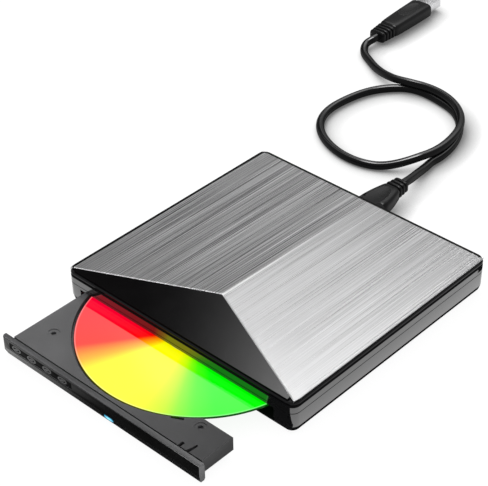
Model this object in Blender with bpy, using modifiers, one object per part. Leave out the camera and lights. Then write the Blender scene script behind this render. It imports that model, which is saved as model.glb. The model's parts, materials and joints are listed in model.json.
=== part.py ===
"""External optical disc drive: a flat square case with a folded brushed lid, a half-open disc
tray and its USB lead.

World frame: +X along the front face, +Y from the front to the rear, +Z up, with the origin on
the table at the middle of the front rubber strip. Lengths below are in millimetres, drawn with
Y = 0 at the case's front face; the root empty carries the whole drive back to the origin.
"""

import math

import bmesh
import bpy
from mathutils import Matrix, Vector

MM = 0.001

# ---------------------------------------------------------------- case
CASE_HALF_W = 73.0
CASE_D = 142.0
CASE_R = 4.5                # plan radius of the corners
CASE_BOTTOM = 1.5
CHAMFER_TOP = 4.2           # top of the lower shell's bottom chamfer
SEAM_Z = 12.0               # joint between the lower and upper shells
SEAM_GAP = 0.1              # each shell stops this far from the joint
BAND_TOP = 16.35            # top of the upper shell
WALL = 1.8
FLOOR_T = 1.0
CASE_SCREWS = {
    "front_left": (-68.4, 9.0), "front_right": (68.4, 9.0),
    "rear_left": (-68.4, 133.2), "rear_right": (68.4, 133.2),
}
BOSS_R = 2.9

FOOT_TOP = 1.3
FOOT_HALF_W = 48.0
FOOT_HALF_D = 3.0
FOOT_Y = 10.5               # middle of the front strip
REAR_FOOT_Y = 129.0

# ---------------------------------------------------------------- lid
RIM_Z = 16.85
RIM_KNEE = 17.7
RIM_TOP = 18.35
RIM_W = 3.4
PLATE_INSET = 0.65          # brushed plate's edge inside the case's sides and rear
PLATE_HALF_W = CASE_HALF_W - PLATE_INSET
PLATE_Y0 = 1.5              # front tips of the plate
PLATE_Y1 = CASE_D - PLATE_INSET
PLATE_EDGE_Z = 19.25
PLATE_T = 0.7
PLATE_R = 4.0
PLATE_ROWS = 6
PEAK_Y = 32.5
PEAK_RISE = 3.15            # height of the peak above the plate's edges
FACET_SLOPE = PEAK_RISE / (PEAK_Y - PLATE_Y0)
FACET_HALF_W = 68.6
FACET_FRONT = 1.0

# ---------------------------------------------------------------- drive chassis
PAN_L, PAN_R = -65.2, 64.6
PAN_FRONT, PAN_REAR = 5.0, 127.8
PAN_BOTTOM = 2.8
PAN_WALL = 0.5
PAN_SCREWS = {"front": (52.0, 42.0), "rear": (52.0, 118.0)}
BOARD_Y = 134.0             # screws of the bridge board
BOARD_SCREWS = {"left": (-38.0, BOARD_Y), "right": (30.0, BOARD_Y)}
PORT_X, PORT_Z = -5.4, 8.4

RAIL_Z0, RAIL_Z1 = 3.6, 7.7
RAIL_T = 0.5
RAIL_MIDDLE_Z = (RAIL_Z0 + RAIL_Z1) / 2

# ---------------------------------------------------------------- tray
TRAY_OUT = 48.0             # how far the tray is out at rest
TRAY_TOP = 10.1
TRAY_L, TRAY_R = -61.0, 61.0
TRAY_BODY_R = 36.5          # right-hand side of the tray behind its front block
TRAY_FRONT = -44.3
BLOCK_REAR = -25.2
TRAY_REAR = 76.0
BLOCK_BOTTOM = 2.9
BODY_BOTTOM = 3.6
RECESS_R, RECESS_Z = 61.2, 7.6
TRAY_SCREWS = {"left": (-49.4, -30.1), "right": (46.0, -29.8)}

BEZEL_L, BEZEL_R = -66.0, 62.7
BEZEL_BACK = -44.57
BEZEL_FRONT = -TRAY_OUT
BEZEL_KNEE = 4.4            # below this height the face leans back
BEZEL_BOTTOM = 0.6
BEZEL_LIP = -47.35          # face at the bezel's bottom edge
BEZEL_CUT_Y = (-49.0, -43.0)    # span of the cutters that go right through the bezel
LED_X, LED_Z = 6.2, 2.5
BUTTON_X0, BUTTON_X1, BUTTON_Z0, BUTTON_Z1 = 17.0, 27.0, 1.4, 3.7

# ---------------------------------------------------------------- disc mechanism
SPINDLE = (0.0, 18.5)
DISC_R = 60.0
DISC_HOLE_R = 7.5
DISC_Z0, DISC_Z1 = 8.2, 9.4
SLED_ANGLE = math.radians(38.0)   # the sled's track, from straight ahead towards the left
LENS_TRAVEL = 30.0                # distance of the lens from the spindle at rest
ROD_OFFSETS = {"front": 15.5, "rear": -15.5}    # guide rods, across the track
ROD_Z, ROD_R = 5.7, 0.75
ROD_SEGMENTS = 14
LEAD_SCREW_OFFSET = -20.1         # beside the rear rod
LEAD_SCREW_Z, LEAD_SCREW_R = 5.65, 0.9
LEAD_SCREW_START = 21.3

# ---------------------------------------------------------------- USB lead
CABLE_R = 2.2
REAR_PLUG_Y = CASE_D + 0.35
PLUG_RISE = 1.0             # the strain relief sits this much above the socket's axis
LOOP_X, LOOP_Y = -55.5, 228.5
LOOP_R = 40.0
CABLE_LOW_Z = 2.4           # centre line of the loop's first turn
CABLE_CROSSING_LIFT = 4.55  # added where the lead crosses over itself
HOST_X, HOST_Y, HOST_Z = -121.9, 299.6, 5.2
HOST_TILT = math.radians(3.0)
HOST_L = 49.0

# ---------------------------------------------------------------- scene and materials
for old in list(bpy.data.objects):
    bpy.data.objects.remove(old, do_unlink=True)

PARTS = bpy.data.collections.new("optical_drive")
CUTTERS = bpy.data.collections.new("cutters")
bpy.context.scene.collection.children.link(PARTS)
bpy.context.scene.collection.children.link(CUTTERS)

# name: (base colour, roughness, metallic)
FINISHES = {
    "shell_black": ((0.012, 0.012, 0.013), 0.18, 0.0),
    "rim_black": ((0.010, 0.010, 0.011), 0.16, 0.0),
    "brushed_plate": ((0.46, 0.46, 0.46), 0.32, 1.0),
    "gloss_panel": ((0.006, 0.006, 0.007), 0.08, 0.0),
    "tray_grey": ((0.055, 0.055, 0.058), 0.55, 0.0),
    "bezel_grey": ((0.045, 0.045, 0.047), 0.35, 0.0),
    "button_grey": ((0.040, 0.040, 0.042), 0.35, 0.0),
    "led_cyan": ((0.20, 0.80, 0.95), 0.25, 0.0),
    "sheet_steel": ((0.60, 0.60, 0.61), 0.35, 1.0),
    "rail_steel": ((0.55, 0.55, 0.56), 0.30, 1.0),
    "rod_steel": ((0.70, 0.70, 0.71), 0.15, 1.0),
    "rubber": ((0.02, 0.02, 0.02), 0.80, 0.0),
    "board_green": ((0.02, 0.13, 0.06), 0.45, 0.0),
    "chip_black": ((0.02, 0.02, 0.02), 0.50, 0.0),
    "screw_black": ((0.06, 0.06, 0.06), 0.35, 1.0),
    "disc_face": ((0.85, 0.75, 0.25), 0.15, 0.3),
    "rotor_grey": ((0.30, 0.30, 0.31), 0.40, 0.0),
    "sled_zinc": ((0.40, 0.40, 0.42), 0.45, 0.8),
    "lens_glass": ((0.55, 0.65, 0.80), 0.05, 0.0),
    "cable_black": ((0.018, 0.018, 0.019), 0.45, 0.0),
    "ribbon_amber": ((0.45, 0.22, 0.05), 0.40, 0.0),
}


def material(name, colour, roughness, metallic):
    mat = bpy.data.materials.new(name)
    mat.use_nodes = True
    inputs = mat.node_tree.nodes["Principled BSDF"].inputs
    inputs["Base Color"].default_value = (*colour, 1.0)
    inputs["Roughness"].default_value = roughness
    inputs["Metallic"].default_value = metallic
    mat.diffuse_color = (*colour, 1.0)
    return mat


MATERIALS = {name: material(name, *finish) for name, finish in FINISHES.items()}


# ---------------------------------------------------------------- solids
# A solid given no material is a boolean helper.
def add_object(name, bm, mat=None):
    mesh = bpy.data.meshes.new(name)
    bm.to_mesh(mesh)
    bm.free()
    ob = bpy.data.objects.new(name, mesh)
    if mat is None:
        CUTTERS.objects.link(ob)
        ob.hide_render = True
        ob.display_type = "WIRE"
    else:
        PARTS.objects.link(ob)
        mesh.materials.append(MATERIALS[mat])
    return ob


def add_solid(name, bm, mat=None):
    bmesh.ops.recalc_face_normals(bm, faces=bm.faces)
    return add_object(name, bm, mat)


def box(name, xs, ys, zs, mat=None):
    """Box between the (low, high) pairs xs, ys and zs."""
    spans = (xs, ys, zs)
    bm = bmesh.new()
    bmesh.ops.create_cube(bm, size=1.0)
    bmesh.ops.scale(bm, vec=[(high - low) * MM for low, high in spans], verts=bm.verts)
    bmesh.ops.translate(bm, vec=[(low + high) / 2 * MM for low, high in spans], verts=bm.verts)
    return add_solid(name, bm, mat)


def rod(name, start, end, radius, segments, mat=None):
    start, end = Vector(start) * MM, Vector(end) * MM
    bm = bmesh.new()
    bmesh.ops.create_cone(bm, cap_ends=True, segments=segments, radius1=radius * MM,
                          radius2=radius * MM, depth=(end - start).length)
    turn = (end - start).to_track_quat("Z", "Y").to_matrix().to_4x4()
    place = Matrix.Translation((start + end) / 2) @ turn
    bmesh.ops.transform(bm, matrix=place, verts=bm.verts)
    return add_solid(name, bm, mat)


def pin(name, at, z0, z1, radius, segments):
    """Upright round helper at (x, y)."""
    return rod(name, (*at, z0), (*at, z1), radius, segments)


def turned(name, profile, at, mat, steps=16):
    """Profile of (radius, z), bottom to top, turned about the vertical through (x, y)."""
    bm = bmesh.new()
    verts = [bm.verts.new((radius * MM, 0, z * MM)) for radius, z in reversed(profile)]
    for a, b in zip(verts, verts[1:]):
        bm.edges.new((a, b))
    if profile[0][0] > 0:       # a ring, clear of the axis
        bm.edges.new((verts[-1], verts[0]))
    ob = add_object(name, bm, mat)
    ob.location = (at[0] * MM, at[1] * MM, 0)
    screw = ob.modifiers.new("turn", "SCREW")
    screw.axis = "Z"
    screw.angle = 2 * math.pi
    screw.steps = screw.render_steps = steps
    screw.use_merge_vertices = True
    screw.merge_threshold = 0.000005
    screw.use_smooth_shade = True
    return ob


def polyline(curve, points, cyclic):
    spline = curve.splines.new("POLY")
    spline.points.add(len(points) - 1)
    for point, (x, y, z) in zip(spline.points, points):
        point.co = (x * MM, y * MM, z * MM, 1)
    spline.use_cyclic_u = cyclic


def curve_bmesh(curve, merge):
    """The curve's surface, with vertices closer than merge (metres) joined."""
    carrier = bpy.data.objects.new(curve.name + "_curve", curve)
    CUTTERS.objects.link(carrier)
    depsgraph = bpy.context.evaluated_depsgraph_get()
    mesh = bpy.data.meshes.new_from_object(carrier.evaluated_get(depsgraph))
    bpy.data.objects.remove(carrier, do_unlink=True)
    bm = bmesh.new()
    bm.from_mesh(mesh)
    bmesh.ops.remove_doubles(bm, verts=bm.verts, dist=merge)
    return bm


# plane of a prism's outline: turn from the XY plane
PLANE_TURNS = {
    "xz": Matrix(((1, 0, 0, 0), (0, 0, 1, 0), (0, 1, 0, 0), (0, 0, 0, 1))),
    "yz": Matrix(((0, 0, 1, 0), (1, 0, 0, 0), (0, 1, 0, 0), (0, 0, 0, 1))),
}


def prism(name, outline, span, mat=None, plane="xy", holes=()):
    """Flat outline with holes, given thickness over span along its plane's normal."""
    low, high = span
    curve = bpy.data.curves.new(name, "CURVE")
    curve.dimensions = "2D"
    curve.fill_mode = "BOTH"
    curve.extrude = (high - low) / 2 * MM
    for points in (outline, *holes):
        polyline(curve, [(u, v, 0) for u, v in points], cyclic=True)
    bm = curve_bmesh(curve, merge=0.000002)
    bmesh.ops.translate(bm, vec=(0, 0, (low + high) / 2 * MM), verts=bm.verts)
    if plane in PLANE_TURNS:
        bmesh.ops.transform(bm, matrix=PLANE_TURNS[plane], verts=bm.verts)
    return add_solid(name, bm, mat)


def loft(name, rings, mat, loop=False):
    """Skin through rings of equal point count; capped at both ends, or joined last to first."""
    bm = bmesh.new()
    verts = [[bm.verts.new(Vector(point) * MM) for point in ring] for ring in rings]
    pairs = list(zip(verts, verts[1:]))
    if loop:
        pairs.append((verts[-1], verts[0]))
    count = len(rings[0])
    for a, b in pairs:
        for k in range(count):
            after = (k + 1) % count
            bm.faces.new((a[k], a[after], b[after], b[k]))
    if not loop:
        bm.faces.new(verts[0])
        bm.faces.new(verts[-1])
    return add_solid(name, bm, mat)


def boolean(target, operation, tools):
    for tool in tools:
        mod = target.modifiers.new(f"{operation.lower()}_{tool.name[:30]}", "BOOLEAN")
        mod.operation = operation
        mod.solver = "EXACT"
        mod.object = tool


def cut(target, *tools):
    boolean(target, "DIFFERENCE", tools)


def fuse(target, *tools):
    boolean(target, "UNION", tools)


def smooth(ob):
    """Shade smooth, keeping edges sharper than 35 degrees."""
    for polygon in ob.data.polygons:
        polygon.use_smooth = True
    ob.data.set_sharp_from_angle(angle=math.radians(35.0))


# ---------------------------------------------------------------- outlines
def rounded_rect(x0, x1, y0, y1, r, steps=5):
    points = []
    corners = ((x1 - r, y1 - r, 0), (x0 + r, y1 - r, 90), (x0 + r, y0 + r, 180),
               (x1 - r, y0 + r, 270))
    for cx, cy, start in corners:
        for k in range(steps + 1):
            a = math.radians(start + 90.0 * k / steps)
            points.append((cx + r * math.cos(a), cy + r * math.sin(a)))
    return points


def rounded_about(cx, cy, half_w, half_h, r, steps):
    return rounded_rect(cx - half_w, cx + half_w, cy - half_h, cy + half_h, r, steps)


def ellipse(cx, cy, rx, ry, count):
    angles = [2 * math.pi * k / count for k in range(count)]
    return [(cx + rx * math.cos(a), cy + ry * math.sin(a)) for a in angles]


def case_ring(inset, z):
    """The case's plan outline, moved in by inset, at height z."""
    outline = rounded_rect(-CASE_HALF_W + inset, CASE_HALF_W - inset, inset, CASE_D - inset,
                           max(CASE_R - inset, 0.6))
    return [(x, y, z) for x, y in outline]


# ---------------------------------------------------------------- case shells
def build_lower_shell():
    shell = loft("lower_shell", [
        case_ring(0.9, CASE_BOTTOM),
        case_ring(0.1, CHAMFER_TOP),
        case_ring(0.0, SEAM_Z - SEAM_GAP),
        case_ring(WALL, SEAM_Z - SEAM_GAP),
        case_ring(WALL + 0.3, CASE_BOTTOM + FLOOR_T),
    ], "shell_black")
    for k, at in enumerate(CASE_SCREWS.values()):
        fuse(shell, pin(f"boss_{k}", at, CASE_BOTTOM + 0.4, 11.5, BOSS_R, 20))
    cut(shell,
        box("tray_opening", (-64.1, 61.5), (-2.0, 3.9), (2.6, TRAY_TOP + 0.3)),
        box("port_opening", (PORT_X - 4.9, PORT_X + 4.9), (CASE_D - 4.0, CASE_D + 2.0),
            (PORT_Z - 2.9, PORT_Z + 2.9)))
    for k, at in enumerate(CASE_SCREWS.values()):
        cut(shell,
            pin(f"counterbore_{k}", at, -1.0, 9.0, 2.2, 20),
            pin(f"clearance_{k}", at, 8.0, 13.0, 1.15, 16))
    return shell


def build_upper_shell():
    """Open band with a step round its top edge."""
    inner = WALL + 0.4
    shell = loft("upper_shell", [
        case_ring(0.0, SEAM_Z + SEAM_GAP),
        case_ring(0.0, BAND_TOP - 0.25),
        case_ring(0.25, BAND_TOP),
        case_ring(0.9, BAND_TOP),
        case_ring(0.9, BAND_TOP - 0.6),
        case_ring(inner, BAND_TOP - 0.6),
        case_ring(inner, SEAM_Z + SEAM_GAP),
    ], "shell_black", loop=True)
    for k, at in enumerate(CASE_SCREWS.values()):
        fuse(shell, pin(f"pad_{k}", at, SEAM_Z + 0.15, BAND_TOP - 0.9, BOSS_R, 20))
    for k, at in enumerate(CASE_SCREWS.values()):
        cut(shell, pin(f"pilot_{k}", at, SEAM_Z - 1.0, 15.0, 1.1, 16))


# (radius, z), head down
CASE_SCREW = [(0, 7.4), (1.2, 7.4), (1.9, 7.8), (1.9, 8.8), (1.0, 8.8), (1.0, 14.2),
              (0.5, 14.8), (0, 14.8)]


def build_case_screws():
    """Screws driven from below, with a cross cut in the head."""
    long, short, depth = 0.9, 0.25, (6.4, 7.9)
    for k, (label, (x, y)) in enumerate(CASE_SCREWS.items()):
        screw = turned("case_screw_" + label, CASE_SCREW, (x, y), "screw_black")
        cut(screw,
            box(f"screw_slot_{k}", (x - long, x + long), (y - short, y + short), depth),
            box(f"screw_slot2_{k}", (x - short, x + short), (y - long, y + long), depth))


def build_feet():
    for label, y in (("front", FOOT_Y), ("rear", REAR_FOOT_Y)):
        strip = rounded_about(0.0, y, FOOT_HALF_W, FOOT_HALF_D, 2.9, 6)
        prism("foot_" + label, strip, (0.0, FOOT_TOP), "rubber")


# ---------------------------------------------------------------- lid
def middle_share(x):
    """1 at the middle of the lid, falling to 0 at the plate's sides."""
    return 1 - min(abs(x) / PLATE_HALF_W, 1.0)


def fold_y(x):
    """Fold between the front facet and the plate: straight from each tip to the peak."""
    return PLATE_Y0 + (PEAK_Y - PLATE_Y0) * middle_share(x)


def corner_inset(x):
    """How far the plate's rounded corner draws its edge in at x."""
    over = abs(x) - (PLATE_HALF_W - PLATE_R)
    return PLATE_R - math.sqrt(max(PLATE_R ** 2 - over ** 2, 0)) if over > 0 else 0


def plate_front(x):
    return max(fold_y(x), PLATE_INSET + corner_inset(x))


def facet_height(y):
    return PLATE_EDGE_Z + FACET_SLOPE * (y - PLATE_Y0)


def lid_height(x, y):
    """Two warped facets behind, meeting on a ridge at X = 0, and one flat facet in front."""
    fold = fold_y(x)
    if y < fold:
        return facet_height(y)
    back = (y - fold) / (PLATE_Y1 - fold)
    return PLATE_EDGE_Z + PEAK_RISE * middle_share(x) * (1 - back)


def build_lid_plate():
    """Brushed sheet: a grid bent to the lid surface, thickened downwards."""
    half = [PLATE_HALF_W - PLATE_R + PLATE_R * math.sin(math.radians(a))
            for a in (90, 66, 42, 20, 0)] + [54.0, 40.0, 26.0, 13.0]
    columns = [-x for x in half] + [0.0] + half[::-1]
    steps = len(columns) - 1
    bm = bmesh.new()
    bmesh.ops.create_grid(bm, x_segments=steps, y_segments=PLATE_ROWS, size=0.5)
    for vert in bm.verts:
        x = columns[round((vert.co.x + 0.5) * steps)]
        front, rear = plate_front(x), PLATE_Y1 - corner_inset(x)
        y = front + (rear - front) * round((vert.co.y + 0.5) * PLATE_ROWS) / PLATE_ROWS
        vert.co = Vector((x, y, lid_height(x, y))) * MM
    plate = add_solid("lid_plate", bm, "brushed_plate")
    solidify = plate.modifiers.new("thickness", "SOLIDIFY")
    solidify.thickness = PLATE_T * MM
    solidify.offset = -1.0


def build_front_facet():
    """Flat glossy panel in front of the fold."""
    side_y = plate_front(FACET_HALF_W) - 0.25
    outline = [(-FACET_HALF_W, FACET_FRONT), (FACET_HALF_W, FACET_FRONT),
               (FACET_HALF_W, side_y), (0.0, PEAK_Y - 0.30), (-FACET_HALF_W, side_y)]
    rings = [[(x, y, facet_height(y) + shift) for x, y in outline]
             for shift in (-PLATE_T, -0.03)]
    loft("front_facet", rings, "gloss_panel")


def roof():
    """Folded sheet closing the lid under the plate and the front facet."""
    half_w, front, rear = 70.5, 2.6, 139.4
    edge_z = RIM_TOP - 0.35
    # front left, front right, rear right, rear middle, rear left, peak
    corners = [(-half_w, front, edge_z), (half_w, front, edge_z), (half_w, rear, edge_z),
               (0, rear, edge_z), (-half_w, rear, edge_z),
               (0, PEAK_Y + 1.0, edge_z + PEAK_RISE - 0.25)]
    bm = bmesh.new()
    top, bottom = [[bm.verts.new(Vector((x, y, z + shift)) * MM) for x, y, z in corners]
                   for shift in (0.0, -1.1)]
    for face in ((0, 1, 5), (0, 5, 3), (0, 3, 4), (1, 3, 5), (1, 2, 3)):
        bm.faces.new([top[i] for i in face])
        bm.faces.new([bottom[i] for i in reversed(face)])
    for i in range(5):
        after = (i + 1) % 5
        bm.faces.new((top[i], top[after], bottom[after], bottom[i]))
    return add_solid("roof", bm)


def build_top_cover():
    cover = loft("top_cover", [
        case_ring(0.25, RIM_Z),
        case_ring(0.0, RIM_Z + 0.25),
        case_ring(0.0, RIM_KNEE),
        case_ring(0.6, RIM_TOP),
        case_ring(RIM_W, RIM_TOP),
        case_ring(RIM_W, RIM_Z),
    ], "rim_black", loop=True)
    fuse(cover, roof())


# ---------------------------------------------------------------- drive chassis
# (radius, z), head down
PAN_SCREW = [(0, 1.7), (1.0, 1.7), (1.0, 3.4), (2.0, 3.4), (2.0, 3.8), (1.4, 4.2), (0, 4.2)]


def build_chassis(lower):
    """Sheet pan, its cover sheet, and the screws holding the pan to the lower shell."""
    length = (PAN_FRONT, PAN_REAR)
    sides = (PAN_BOTTOM, 13.0)
    pan = box("drive_pan", (PAN_L, PAN_R), (24.6, PAN_REAR), (PAN_BOTTOM, 3.2), "sheet_steel")
    fuse(pan,
         box("pan_wall_left", (PAN_L, PAN_L + PAN_WALL), length, sides),
         box("pan_wall_right", (PAN_R - PAN_WALL, PAN_R), length, sides),
         box("pan_wall_rear", (PAN_L, PAN_R), (PAN_REAR - PAN_WALL, PAN_REAR),
             (PAN_BOTTOM, 9.0)))
    cut(pan, prism("pan_window", rounded_rect(-30, 20, 70, 105, 4.0, 4), (1.0, 5.0)))
    prism("drive_cover", rounded_rect(PAN_L, PAN_R, PAN_FRONT, PAN_REAR, 1.5, 3), (13.3, 13.7),
          "sheet_steel", holes=[ellipse(x, 112, 2.0, 2.0, 12) for x in (-48, 46)])
    for k, (label, at) in enumerate(PAN_SCREWS.items()):
        cut(pan, pin(f"pan_hole_{k}", at, 1.0, 5.0, 1.2, 16))
        cut(lower, pin(f"pan_pilot_{k}", at, -1.0, 4.0, 1.2, 16))
        turned("pan_screw_" + label, PAN_SCREW, at, "screw_black")
    return pan


def channel(name, web_x, side, ys, zs, depth):
    """C-shaped rail along Y; side +1 opens towards +X, -1 towards -X from the web's face."""
    z0, z1 = zs
    inside, lip = web_x + side * RAIL_T, web_x + side * depth
    outline = [(web_x, z0), (lip, z0), (lip, z0 + RAIL_T), (inside, z0 + RAIL_T),
               (inside, z1 - RAIL_T), (lip, z1 - RAIL_T), (lip, z1), (web_x, z1)]
    prism(name, outline, ys, "rail_steel", "xz")


def build_rails():
    """Fixed rails in the pan and the middle rails half-way out between them and the tray."""
    fixed_y, fixed_z = (5.5, 125.5), (RAIL_Z0, RAIL_Z1)
    middle_y = (6.0 - TRAY_OUT / 2, 124.0 - TRAY_OUT / 2)
    middle_z = (RAIL_Z0 + 0.6, RAIL_Z1 - 0.6)
    channel("rail_fixed_left", -64.4, 1, fixed_y, fixed_z, 2.9)
    channel("rail_fixed_right", TRAY_BODY_R + 3.4, -1, fixed_y, fixed_z, 2.9)
    channel("rail_middle_left", -63.8, 1, middle_y, middle_z, 2.3)
    channel("rail_middle_right", TRAY_BODY_R + 2.8, -1, middle_y, middle_z, 2.3)


# (radius, z), head up
BOARD_SCREW = [(0, 4.8), (1.0, 4.8), (1.0, 6.1), (2.0, 6.1), (2.0, 6.6), (1.3, 6.9), (0, 6.9)]
# (y, z)
RIBBON = [(124.6, 3.45), (128.9, 3.45), (128.9, 6.15), (131.4, 6.15), (131.4, 6.35),
          (128.7, 6.35), (128.7, 3.65), (124.6, 3.65)]


def build_bridge_board(lower):
    board = prism("bridge_board", rounded_rect(-42.0, 34.0, 129.2, 139.4, 1.0, 3), (4.9, 5.9),
                  "board_green")
    prism("bridge_chip", rounded_rect(10.0, 17.0, 130.8, 137.8, 0.3, 2), (6.1, 7.1),
          "chip_black")
    for k, (label, at) in enumerate(BOARD_SCREWS.items()):
        cut(board, pin(f"board_hole_{k}", at, 4.0, 7.0, 1.3, 16))
        fuse(lower, pin(f"board_post_{k}", at, CASE_BOTTOM + 0.4, 4.6, 2.4, 16))
        turned("board_screw_" + label, BOARD_SCREW, at, "screw_black")


def build_socket():
    socket = prism("usb_socket", rounded_about(PORT_X, PORT_Z, 3.9, 2.1, 0.8, 3),
                   (131.0, 139.9), "sheet_steel", "xz")
    cut(socket, prism("socket_mouth", rounded_about(PORT_X, PORT_Z, 3.5, 1.7, 0.6, 3),
                      (132.0, 142.0), None, "xz"))


def build_ribbon(pan):
    """Ribbon cable running through a gate in the pan's rear wall."""
    prism("ribbon_cable", RIBBON, (-34.0, -20.0), "ribbon_amber", "yz")
    cut(pan, box("ribbon_gate", (-35.0, -19.0), (PAN_REAR - 1.5, PAN_REAR + 1.0), (3.25, 7.0)))


# ---------------------------------------------------------------- pickup track
def track(along, across):
    """Plan point along the track from the spindle (to the front left) and across it (to the
    front right)."""
    sin, cos = math.sin(SLED_ANGLE), math.cos(SLED_ANGLE)
    return (SPINDLE[0] - sin * along + cos * across, SPINDLE[1] - cos * along - sin * across)


def track_outline(*points):
    return [track(*point) for point in points]


def track_rect(a0, a1, c0, c1):
    return track_outline((a0, c0), (a1, c0), (a1, c1), (a0, c1))


def track_rod(name, a0, a1, across, z, radius, segments, mat=None):
    """Round bar along the track."""
    return rod(name, (*track(a0, across), z), (*track(a1, across), z), radius, segments, mat)


# ---------------------------------------------------------------- tray
# (radius, z), head up
TRAY_SCREW = [(0, 6.0), (1.1, 6.0), (1.1, 8.7), (0.75, 8.9), (0, 8.9)]
# (along, across) the track: narrows towards its outer end
PICKUP_WINDOW = [(16.0, -13.0), (46.0, -13.0), (53.0, -9.0), (58.6, -2.6),
                 (58.6, 2.6), (53.0, 9.0), (46.0, 13.0), (16.0, 13.0)]
# (x, y) outlines in the top of the front block
EDGE_SLOT = [(32.2, -34.6), (34.9, -33.2), (34.4, -32.0), (31.7, -33.4)]
EDGE_SLOT_END = [(34.8, -33.3), (37.6, -31.8), (37.0, -30.6), (34.3, -32.1)]
CLIP_NOTCH = [(50.7, -45.5), (53.2, -45.5), (53.4, -42.6), (53.6, -38.9), (52.5, -38.9),
              (52.0, -42.2)]


def build_tray():
    outline = [(TRAY_L, TRAY_FRONT), (TRAY_R, TRAY_FRONT), (TRAY_R, BLOCK_REAR),
               (TRAY_BODY_R, BLOCK_REAR), (TRAY_BODY_R, TRAY_REAR), (TRAY_L, TRAY_REAR)]
    block_front = -42.9     # front of the hollows in the block
    tray = prism("tray", outline, (BLOCK_BOTTOM, TRAY_TOP), "tray_grey")
    cut(tray,
        box("tray_underside", (TRAY_L - 1, TRAY_BODY_R + 1), (BLOCK_REAR + 0.01, TRAY_REAR + 1),
            (0.0, BODY_BOTTOM)),
        pin("disc_recess", SPINDLE, RECESS_Z, 14.0, RECESS_R, 72),
        prism("tray_cavity", [(-59.4, -23.6), (34.9, -23.6), (34.9, 74.4), (-59.4, 74.4)],
              (0.0, 6.8)),
        prism("block_cavity", [(-59.4, block_front), (35.2, block_front), (35.2, -23.0),
                               (-59.4, -23.0)], (0.0, 6.8)),
        box("right_pocket", (41.5, 59.4), (block_front, -26.8), (0.0, 7.9)),
        box("rail_tunnel", (35.6, 40.6), (block_front, BLOCK_REAR + 1.0), (0.0, 8.3)),
        prism("pickup_window", track_outline(*PICKUP_WINDOW), (5.0, 9.0)),
        prism("motor_window", track_rect(7.8, 22.4, -22.6, -17.4), (6.0, 9.0)),
        pin("spindle_window", SPINDLE, 5.0, 9.0, 18.2, 48))
    for k, at in enumerate(TRAY_SCREWS.values()):
        cut(tray,
            pin(f"tray_hole_{k}", at, 1.0, 12.0, 1.25, 20),
            pin(f"tray_dimple_{k}", at, 9.8, 12.0, 2.9, 24))
    cut(tray,
        prism("edge_slot", EDGE_SLOT, (7.6, 12.0)),
        prism("edge_slot_end", EDGE_SLOT_END, (8.9, 12.0)),
        box("clip_notch_a", (46.5, 48.1), (-45.5, -41.5), (8.4, 12.0)),
        prism("clip_notch_b", CLIP_NOTCH, (8.4, 12.0)))


def build_tray_fittings():
    """Side runners, screws, and the board under the front block."""
    runners = (("left", (-62.7, TRAY_L - 0.05), -43.0),
               ("right", (TRAY_BODY_R + 0.05, TRAY_BODY_R + 1.7), BLOCK_REAR + 0.6))
    for label, xs, front in runners:
        box("runner_" + label, xs, (front, TRAY_REAR - 2.0), (4.8, 6.5), "rail_steel")
    for label, at in TRAY_SCREWS.items():
        turned("tray_screw_" + label, TRAY_SCREW, at, "screw_black")
    board = box("tray_board", (-20.0, 33.0), (-42.5, -30.0), (5.2, 6.0), "board_green")
    cut(board, prism("tray_board_bite", track_rect(40.0, 90.0, 17.5, -40.0), (4.0, 8.0)))


# ---------------------------------------------------------------- bezel
def build_bezel():
    """Upright face above the knee, leaning back below it, with four raised oval marks."""
    profile = [     # (y, z)
        (BEZEL_BACK, TRAY_TOP), (BEZEL_FRONT + 0.2, TRAY_TOP), (BEZEL_FRONT, TRAY_TOP - 0.2),
        (BEZEL_FRONT, BEZEL_KNEE), (BEZEL_LIP, BEZEL_BOTTOM), (BEZEL_BACK - 0.6, BEZEL_BOTTOM),
        (BEZEL_BACK, 1.4)]
    corner = [      # (x, z), bottom left
        (BEZEL_L - 2.0, -1.0), (BEZEL_L + 4.0, -1.0), (BEZEL_L + 4.0, 0.4), (BEZEL_L, 3.2),
        (BEZEL_L - 2.0, 3.2)]
    button_gap = 0.15
    button_hole = rounded_rect(BUTTON_X0 - button_gap, BUTTON_X1 + button_gap,
                               BUTTON_Z0 - button_gap, BUTTON_Z1 + button_gap, 0.5, 3)
    back, front = max(BEZEL_CUT_Y), min(BEZEL_CUT_Y)
    bezel = prism("bezel", profile, (BEZEL_L, BEZEL_R), "bezel_grey", "yz")
    cut(bezel,
        prism("bezel_corner", corner, (-50.0, back), None, "xz"),
        prism("led_pocket", rounded_about(LED_X, LED_Z, 3.1, 1.2, 1.19, 5), BEZEL_CUT_Y, None,
              "xz"),
        prism("button_pocket", button_hole, BEZEL_CUT_Y, None, "xz"),
        rod("pinhole", (13.7, front, 2.2), (13.7, back, 2.2), 0.55, 12))
    for k in range(4):
        fuse(bezel, prism(f"mark_{k}", ellipse(-55.6 + 10.6 * k, 7.4, 2.4, 1.25, 16),
                          (BEZEL_FRONT - 0.25, BEZEL_FRONT + 0.5), None, "xz"))


def lip_trimmer(name, x0, x1):
    """Helper filling the space in front of the bezel's leaning lower band."""
    lean = (BEZEL_LIP - BEZEL_FRONT) / (BEZEL_KNEE - BEZEL_BOTTOM)
    low, high, ahead = -2.0, 6.0, -52.0
    face = [(BEZEL_FRONT + lean * (BEZEL_KNEE - z), z) for z in (low, high)]
    return prism(name, [(ahead, low), *face, (ahead, high)], (x0, x1), None, "yz")


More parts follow.
